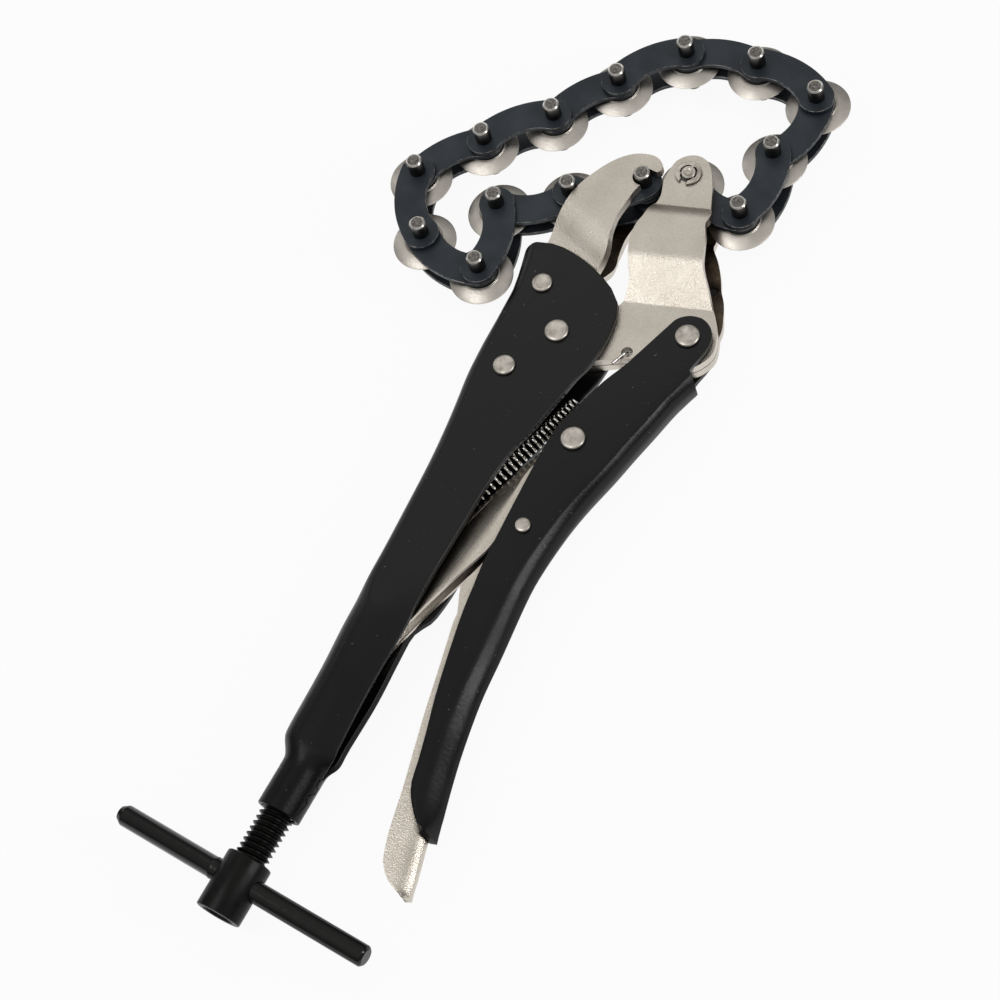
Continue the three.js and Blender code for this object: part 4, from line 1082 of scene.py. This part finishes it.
def handle_pressing():
    table = [list(row) for row in flowing([Vector(row) for row in HANDLE_ROWS], 6)]
    heights = stations(-53.1, -34.5, 46) + stations(-33.5, 86.45, 52)
    rows, thickness = [], []  # thickness is each row's share of the sheet
    for y in heights:
        spine, front, rear, swell, closing = (along(table, y, column) for column in range(1, 6))
        section = handle_section(spine, front, rear, swell)
        ring = neck_ring(len(section), y)
        rows.append([at(a[0] + (b[0] - a[0]) * closing, y, a[1] + (b[1] - a[1]) * closing)
                     for a, b in zip(section, ring)])
        thickness.append(1 - closing * NECK_THINNING)
    foot, _, front_edge, rear_edge, _, _ = HANDLE_ROWS[-1]
    for i in range(1, HEAD_STEPS + 1):
        share = i / HEAD_STEPS
        edge = along(HEAD_RIGHT, foot + share * (HEAD_RIGHT[-1][0] - foot))
        spine = along(HEAD_SPINE, foot + share * (HEAD_SPINE[-1][0] - foot))
        section = handle_section(spine, edge, edge + (rear_edge - front_edge) * (1 - share), 0)
        top = handle_section(HEAD_SPINE[-1][1], HEAD_RIGHT[-1][1], HEAD_RIGHT[-1][1], 0)
        rows.append([at(x, foot + share * (along(HEAD_TOP, end_x) - foot), z)
                     for (x, z), (end_x, _) in zip(section, top)])
        thickness.append(1)
    shell = sheet_piece("handle_pressing", rows, HANDLE_SHEET, edge_width=0.35,
                        thickness=thickness, rim=1)
    bpy.ops.mesh.primitive_cube_add(size=MM, location=at(*TONGUE_PLACE))
    tongue = bpy.context.object
    only(tongue)
    bpy.ops.transform.resize(value=TONGUE_SIZE)
    settle(tongue)
    soften(tongue, 0.3)
    carve(shell, tongue, "UNION")
    return shell


dress(handle_pressing(), "handle", ["handle_shell"], "black_paint", PAINT, PAINT_EDGE_WEAR_AND_HIGHLIGHT)


# Anchor pin, its clips, and the washers on the chain's last pin
pin_half = [(2.3, 6.55), (1.6, 6.6), (1.6, 7.2), (1.9, 7.24), (2.02, 7.32), (2.02, 7.5),
            (1.88, 7.62), (1.3, 7.62), (1.15, 7.5), (0.7, 7.38), (0.3, 7.34)]
pin = turned("anchor_pin_turned", 40, both_ends(pin_half), angle=30)
stand(pin, at(*ANCHOR_PIN))
dress(pin, "movable_jaw", ["anchor_pin"], "nickel_rivets", RIVET)

CLIP_TURN = -93
CLIP_LEVEL = 6.7
CLIP_SHEET = 0.72
CLIP_INNER = 2.45
CLIP_OUTER = 3.7
CLIP_EAR = 0.42


def open_clip(name):
    """A retaining clip stamped from spring sheet, open on one side, with three inner ears."""
    outline = arc(ANCHOR_PIN, CLIP_OUTER, CLIP_TURN + 15, CLIP_TURN + 345, 44)
    for i in range(36, -1, -1):
        heading = CLIP_TURN + 25 + (310 * i) / 36
        ear = CLIP_EAR * max(0, math.cos(math.radians(3 * (heading - CLIP_TURN - 180)))) ** 4
        across, rise = reach(CLIP_INNER - ear, heading)
        outline.append((ANCHOR_PIN[0] + across, ANCHOR_PIN[1] + rise))
    clip = trace(name, [at(x, y, CLIP_LEVEL) for x, y in outline])
    thicken(clip, CLIP_SHEET)
    # The rounded edges take the dark painted shade outline
    soften(clip, 0.2, 2, rim=1)
    return clip


front = open_clip("clip_front")
rear = mirrored(front, "clip_rear")
dress(front, "movable_jaw", ["retaining_clip_front"], "nickel_rivets", RIVET, CLIP_EDGE_SHADE)
dress(rear, "movable_jaw", ["retaining_clip_rear"], "nickel_rivets", RIVET, CLIP_EDGE_SHADE)

washer_loop = [(2.6, 1.4), (4.6, 1.4), (4.75, 1.5), (4.75, 1.7), (4.4, 2.1), (4.35, 2.4),
               (4.4, 2.75), (4.75, 3.1), (4.75, 3.35), (4.6, 3.45), (2.6, 3.45), (2.6, 1.4)]
for node, side in (("end_washer_front", 1), ("end_washer_rear", -1)):
    washer = turned(f"grooved_{node}", 40, [(r, side * z) for r, z in washer_loop],
                    capped=False, angle=30)
    stand(washer, at(*HOOK_PIN))
    dress(washer, BODY_OF[node], [node], "blued_steel", BLUED)


# Adjusting screw with its thread, hub and bar
THREAD_PITCH = 1.5875
SCREW_FOOT = -69.1
SCREW_TIP = -10.7
THREAD_ROOT = 3.66


def threaded_rod():
    """One turn of thread drawn as a profile, screwed up the rod, cut flat at both ends."""
    profile = [(THREAD_ROOT, 0), (THREAD_ROOT, 0.16), (4.53, 0.70), (4.6, 0.78), (4.6, 0.84),
               (4.53, 0.92), (THREAD_ROOT, 1.46), (THREAD_ROOT, THREAD_PITCH)]
    turns = math.ceil((SCREW_TIP - SCREW_FOOT) / THREAD_PITCH) + 2
    bpy.ops.mesh.primitive_plane_add(size=MM)
    piece = bpy.context.object
    piece.name = "adjusting_screw_thread"
    edit(piece)
    bpy.ops.mesh.select_mode(type="VERT")
    pick_all()
    bpy.ops.mesh.merge(type="CENTER")
    bpy.ops.transform.translate(value=(THREAD_ROOT * MM, 0, (SCREW_FOOT - THREAD_PITCH) * MM))
    for before, after in zip(profile, profile[1:]):
        step = ((after[0] - before[0]) * MM, 0, (after[1] - before[1]) * MM)
        bpy.ops.mesh.extrude_vertices_move(TRANSFORM_OT_translate={"value": step})
    leave()
    apply(piece, "SCREW", axis="Z", angle=math.tau, steps=32, render_steps=32, iterations=turns,
          screw_offset=THREAD_PITCH * MM, use_merge_vertices=True, merge_threshold=0.003 * MM)
    for height, way in ((SCREW_FOOT, -1), (SCREW_TIP, 1)):
        edit(piece)
        pick_all()
        bpy.ops.mesh.remove_doubles(threshold=0.003 * MM)
        pick_all()
        bpy.ops.mesh.bisect(plane_co=(0, 0, height * MM), plane_no=(0, 0, way), use_fill=True,
                            clear_outer=True, threshold=0.0001 * MM)
        leave()
    edit(piece)
    face_outwards()
    leave()
    smooth(piece, 25)
    return stand(piece, at(0, 0), (-90, 0, 0))


dress(threaded_rod(), "screw", ["adjusting_screw"], "black_oxide", SATIN_OXIDE)

BAR_HEIGHT = -73.0
BAR_TILT = -2.6
BAR_SHIFT = 1.0
hub_profile = [(3.3, -82.0), (4.1, -82.0), (4.3, -82.55), (4.6, HUB_FOOT), (5.75, HUB_FOOT),
               (6.1, -82.65), (6.2, -82.3), (6.2, -67.4), (6.1, -67.0), (5.8, -66.8),
               (5.15, -66.8), (4.95, -67.0), (4.9, -69.4)]
hub = turned("screw_hub_turned", 64, hub_profile)
stand(hub, at(0, 0), (-90, 0, 0))
carve(hub, stand(rod(3.1, -15, 15), at(0, BAR_HEIGHT), (0, 90, BAR_TILT)))
smooth(hub, 30)
dress(hub, "t_handle", ["screw_hub"], "black_oxide", SATIN_OXIDE)

bar_half = 78.5 / 2
bar_profile = [(1.8, -bar_half), (1.95, -bar_half + 0.06), (2.8, -bar_half + 1.5),
               (2.9, -bar_half + 1.75), (2.9, -8.9), (3.05, -8.6), (3.05, -7.9), (2.9, -7.6),
               (2.9, bar_half - 0.75), (2.8, bar_half - 0.55), (2.3, bar_half - 0.06),
               (2.2, bar_half)]
bar = turned("turning_bar", 48, bar_profile, angle=30)
across, rise = reach(BAR_SHIFT, BAR_TILT)
stand(bar, at(across, BAR_HEIGHT + rise), (0, 90, BAR_TILT))
dress(bar, "t_handle", ["t_bar"], "black_oxide", OXIDE)


# Spring: one drawn wire, hooked in the front jaw plate, wound down to the handle's tongue
WIRE_RADIUS = 0.38
COIL_RADIUS = 2.05
COIL_PITCH = 1.4
PITCH_GROWTH = 0.02
COIL_STEPS = 16
SPRING_TAIL = 3.6
SPRING_START = Vector((13.5, 81.8))
SPRING_END = Vector((-6.3, 20.4))


def spring_wire():
    axis = SPRING_END - SPRING_START
    length = axis.length - SPRING_TAIL
    axis.normalize()
    side = Vector((-axis.y, axis.x))
    hole = Vector(SPRING_HOLE)
    pull = (SPRING_START - hole).normalized()
    path = []
    for along_pull, z in ((5.2, 3.75), (3.4, 3.5), (1.6, 3.5), (0.9, 3.45), (0.3, 3.2), (0.05, 2.6),
                          (0, 1.2), (0, -1.2), (0.05, -2.6), (0.3, -3.2), (0.9, -3.45),
                          (2.2, -3.5), (6.5, -3.45), (9.5, -2.9), (12.5, -1.4), (15.0, -0.3),
                          (17.0, 0.3)):
        lean = 2.5 * math.sin(math.pi * max(0, along_pull - 4) / 15) if z < 0.4 else 0
        path.append((*(hole + pull * along_pull + Vector((-pull.y, pull.x)) * lean), z))
    turn, along_axis = 0, 0
    while along_axis < length:
        place = SPRING_START + axis * along_axis + side * COIL_RADIUS * math.cos(turn)
        path.append((*place, COIL_RADIUS * math.sin(turn)))
        turn += math.tau / COIL_STEPS
        along_axis += (COIL_PITCH + PITCH_GROWTH * along_axis) / COIL_STEPS
    path += [(SPRING_END.x, SPRING_END.y + 2.1, 0.3), (SPRING_END.x, SPRING_END.y + 1, 0),
             (SPRING_END.x, SPRING_END.y, 0)]
    curve = bpy.data.curves.new("return_spring_wire", "CURVE")
    curve.dimensions = "3D"
    curve.bevel_depth = WIRE_RADIUS * MM
    curve.bevel_resolution = 2
    curve.use_fill_caps = True
    line = curve.splines.new("POLY")
    line.points.add(len(path) - 1)
    for point, place in zip(line.points, path):
        point.co = (*at(*place), 1)
    piece = bpy.data.objects.new("return_spring_wire", curve)
    bpy.context.scene.collection.objects.link(piece)
    only(piece)
    bpy.ops.object.convert(target="MESH")
    bpy.ops.object.shade_smooth()
    return bpy.context.object


spring = dress(spring_wire(), None, ["return_spring"], "spring_wire", WIRE)
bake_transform(spring)


# Floor and lights
def pale_floor():
    """Pale to the light, and near white to the eye and in reflections, with a soft shadow kept."""
    material = bpy.data.materials.new("pale studio paper")
    material.use_nodes = True
    material.node_tree.nodes.clear()
    rays = add(material, "ShaderNodeLightPath").outputs
    seen = rays["Is Camera Ray"]
    for kind in ("Is Glossy Ray", "Is Transmission Ray"):
        either = add(material, "ShaderNodeMath", {0: seen, 1: rays[kind]}, operation="MAXIMUM")
        seen = either.outputs["Value"]
    share = add(material, "ShaderNodeMath", {0: seen, 1: 0.93}, operation="MULTIPLY")
    paper = add(material, "ShaderNodeBsdfDiffuse", {"Color": (0.80, 0.80, 0.80, 1)})
    white = add(material, "ShaderNodeEmission", {"Color": (1, 1, 1, 1)})
    mix = add(material, "ShaderNodeMixShader", {
        "Fac": share.outputs["Value"], 1: paper.outputs["BSDF"], 2: white.outputs["Emission"],
    })
    add(material, "ShaderNodeOutputMaterial", {"Surface": mix.outputs["Shader"]})
    return material


bpy.ops.mesh.primitive_plane_add(size=6, location=(0, 0, -0.0002))
floor = bpy.context.object
floor.name = "floor"
settle(floor)
floor.data.materials.append(pale_floor())

world = bpy.data.worlds.new("studio")
world.use_nodes = True
background = world.node_tree.nodes["Background"]
place = add(world, "ShaderNodeTexCoord").outputs["Generated"]
height = add(world, "ShaderNodeSeparateXYZ", {"Vector": place}).outputs["Z"]
sky = ramp(world, height, [(0.1, 0.22), (0.85, (1, 0.99, 0.97))])
world.node_tree.links.new(sky, background.inputs["Color"])
background.inputs["Strength"].default_value = 0.62
bpy.context.scene.world = world


def softbox(name, place, size, power):
    """A rectangular light, turned to the frame's origin."""
    data = bpy.data.lights.new(name, "AREA")
    data.shape = "RECTANGLE"
    data.size, data.size_y = size
    data.energy = power
    lamp = bpy.data.objects.new(name, data)
    lamp.location = place
    lamp.rotation_euler = (-Vector(place)).to_track_quat("-Z", "Y").to_euler()
    bpy.context.scene.collection.objects.link(lamp)


softbox("upper left softbox", (-0.60, 0.78, 1.05), (0.8, 0.6), 0.65)
softbox("foot softbox", (-0.30, -0.38, 1.2), (0.6, 0.46), 2.5)
softbox("right strip", (1.08, 0.29, 0.72), (0.26, 0.9), 5.2)
softbox("left softbox", (-1.2, 0.3, 0.45), (0.3, 0.7), 0.6)

bpy.context.scene.view_settings.view_transform = "Standard"
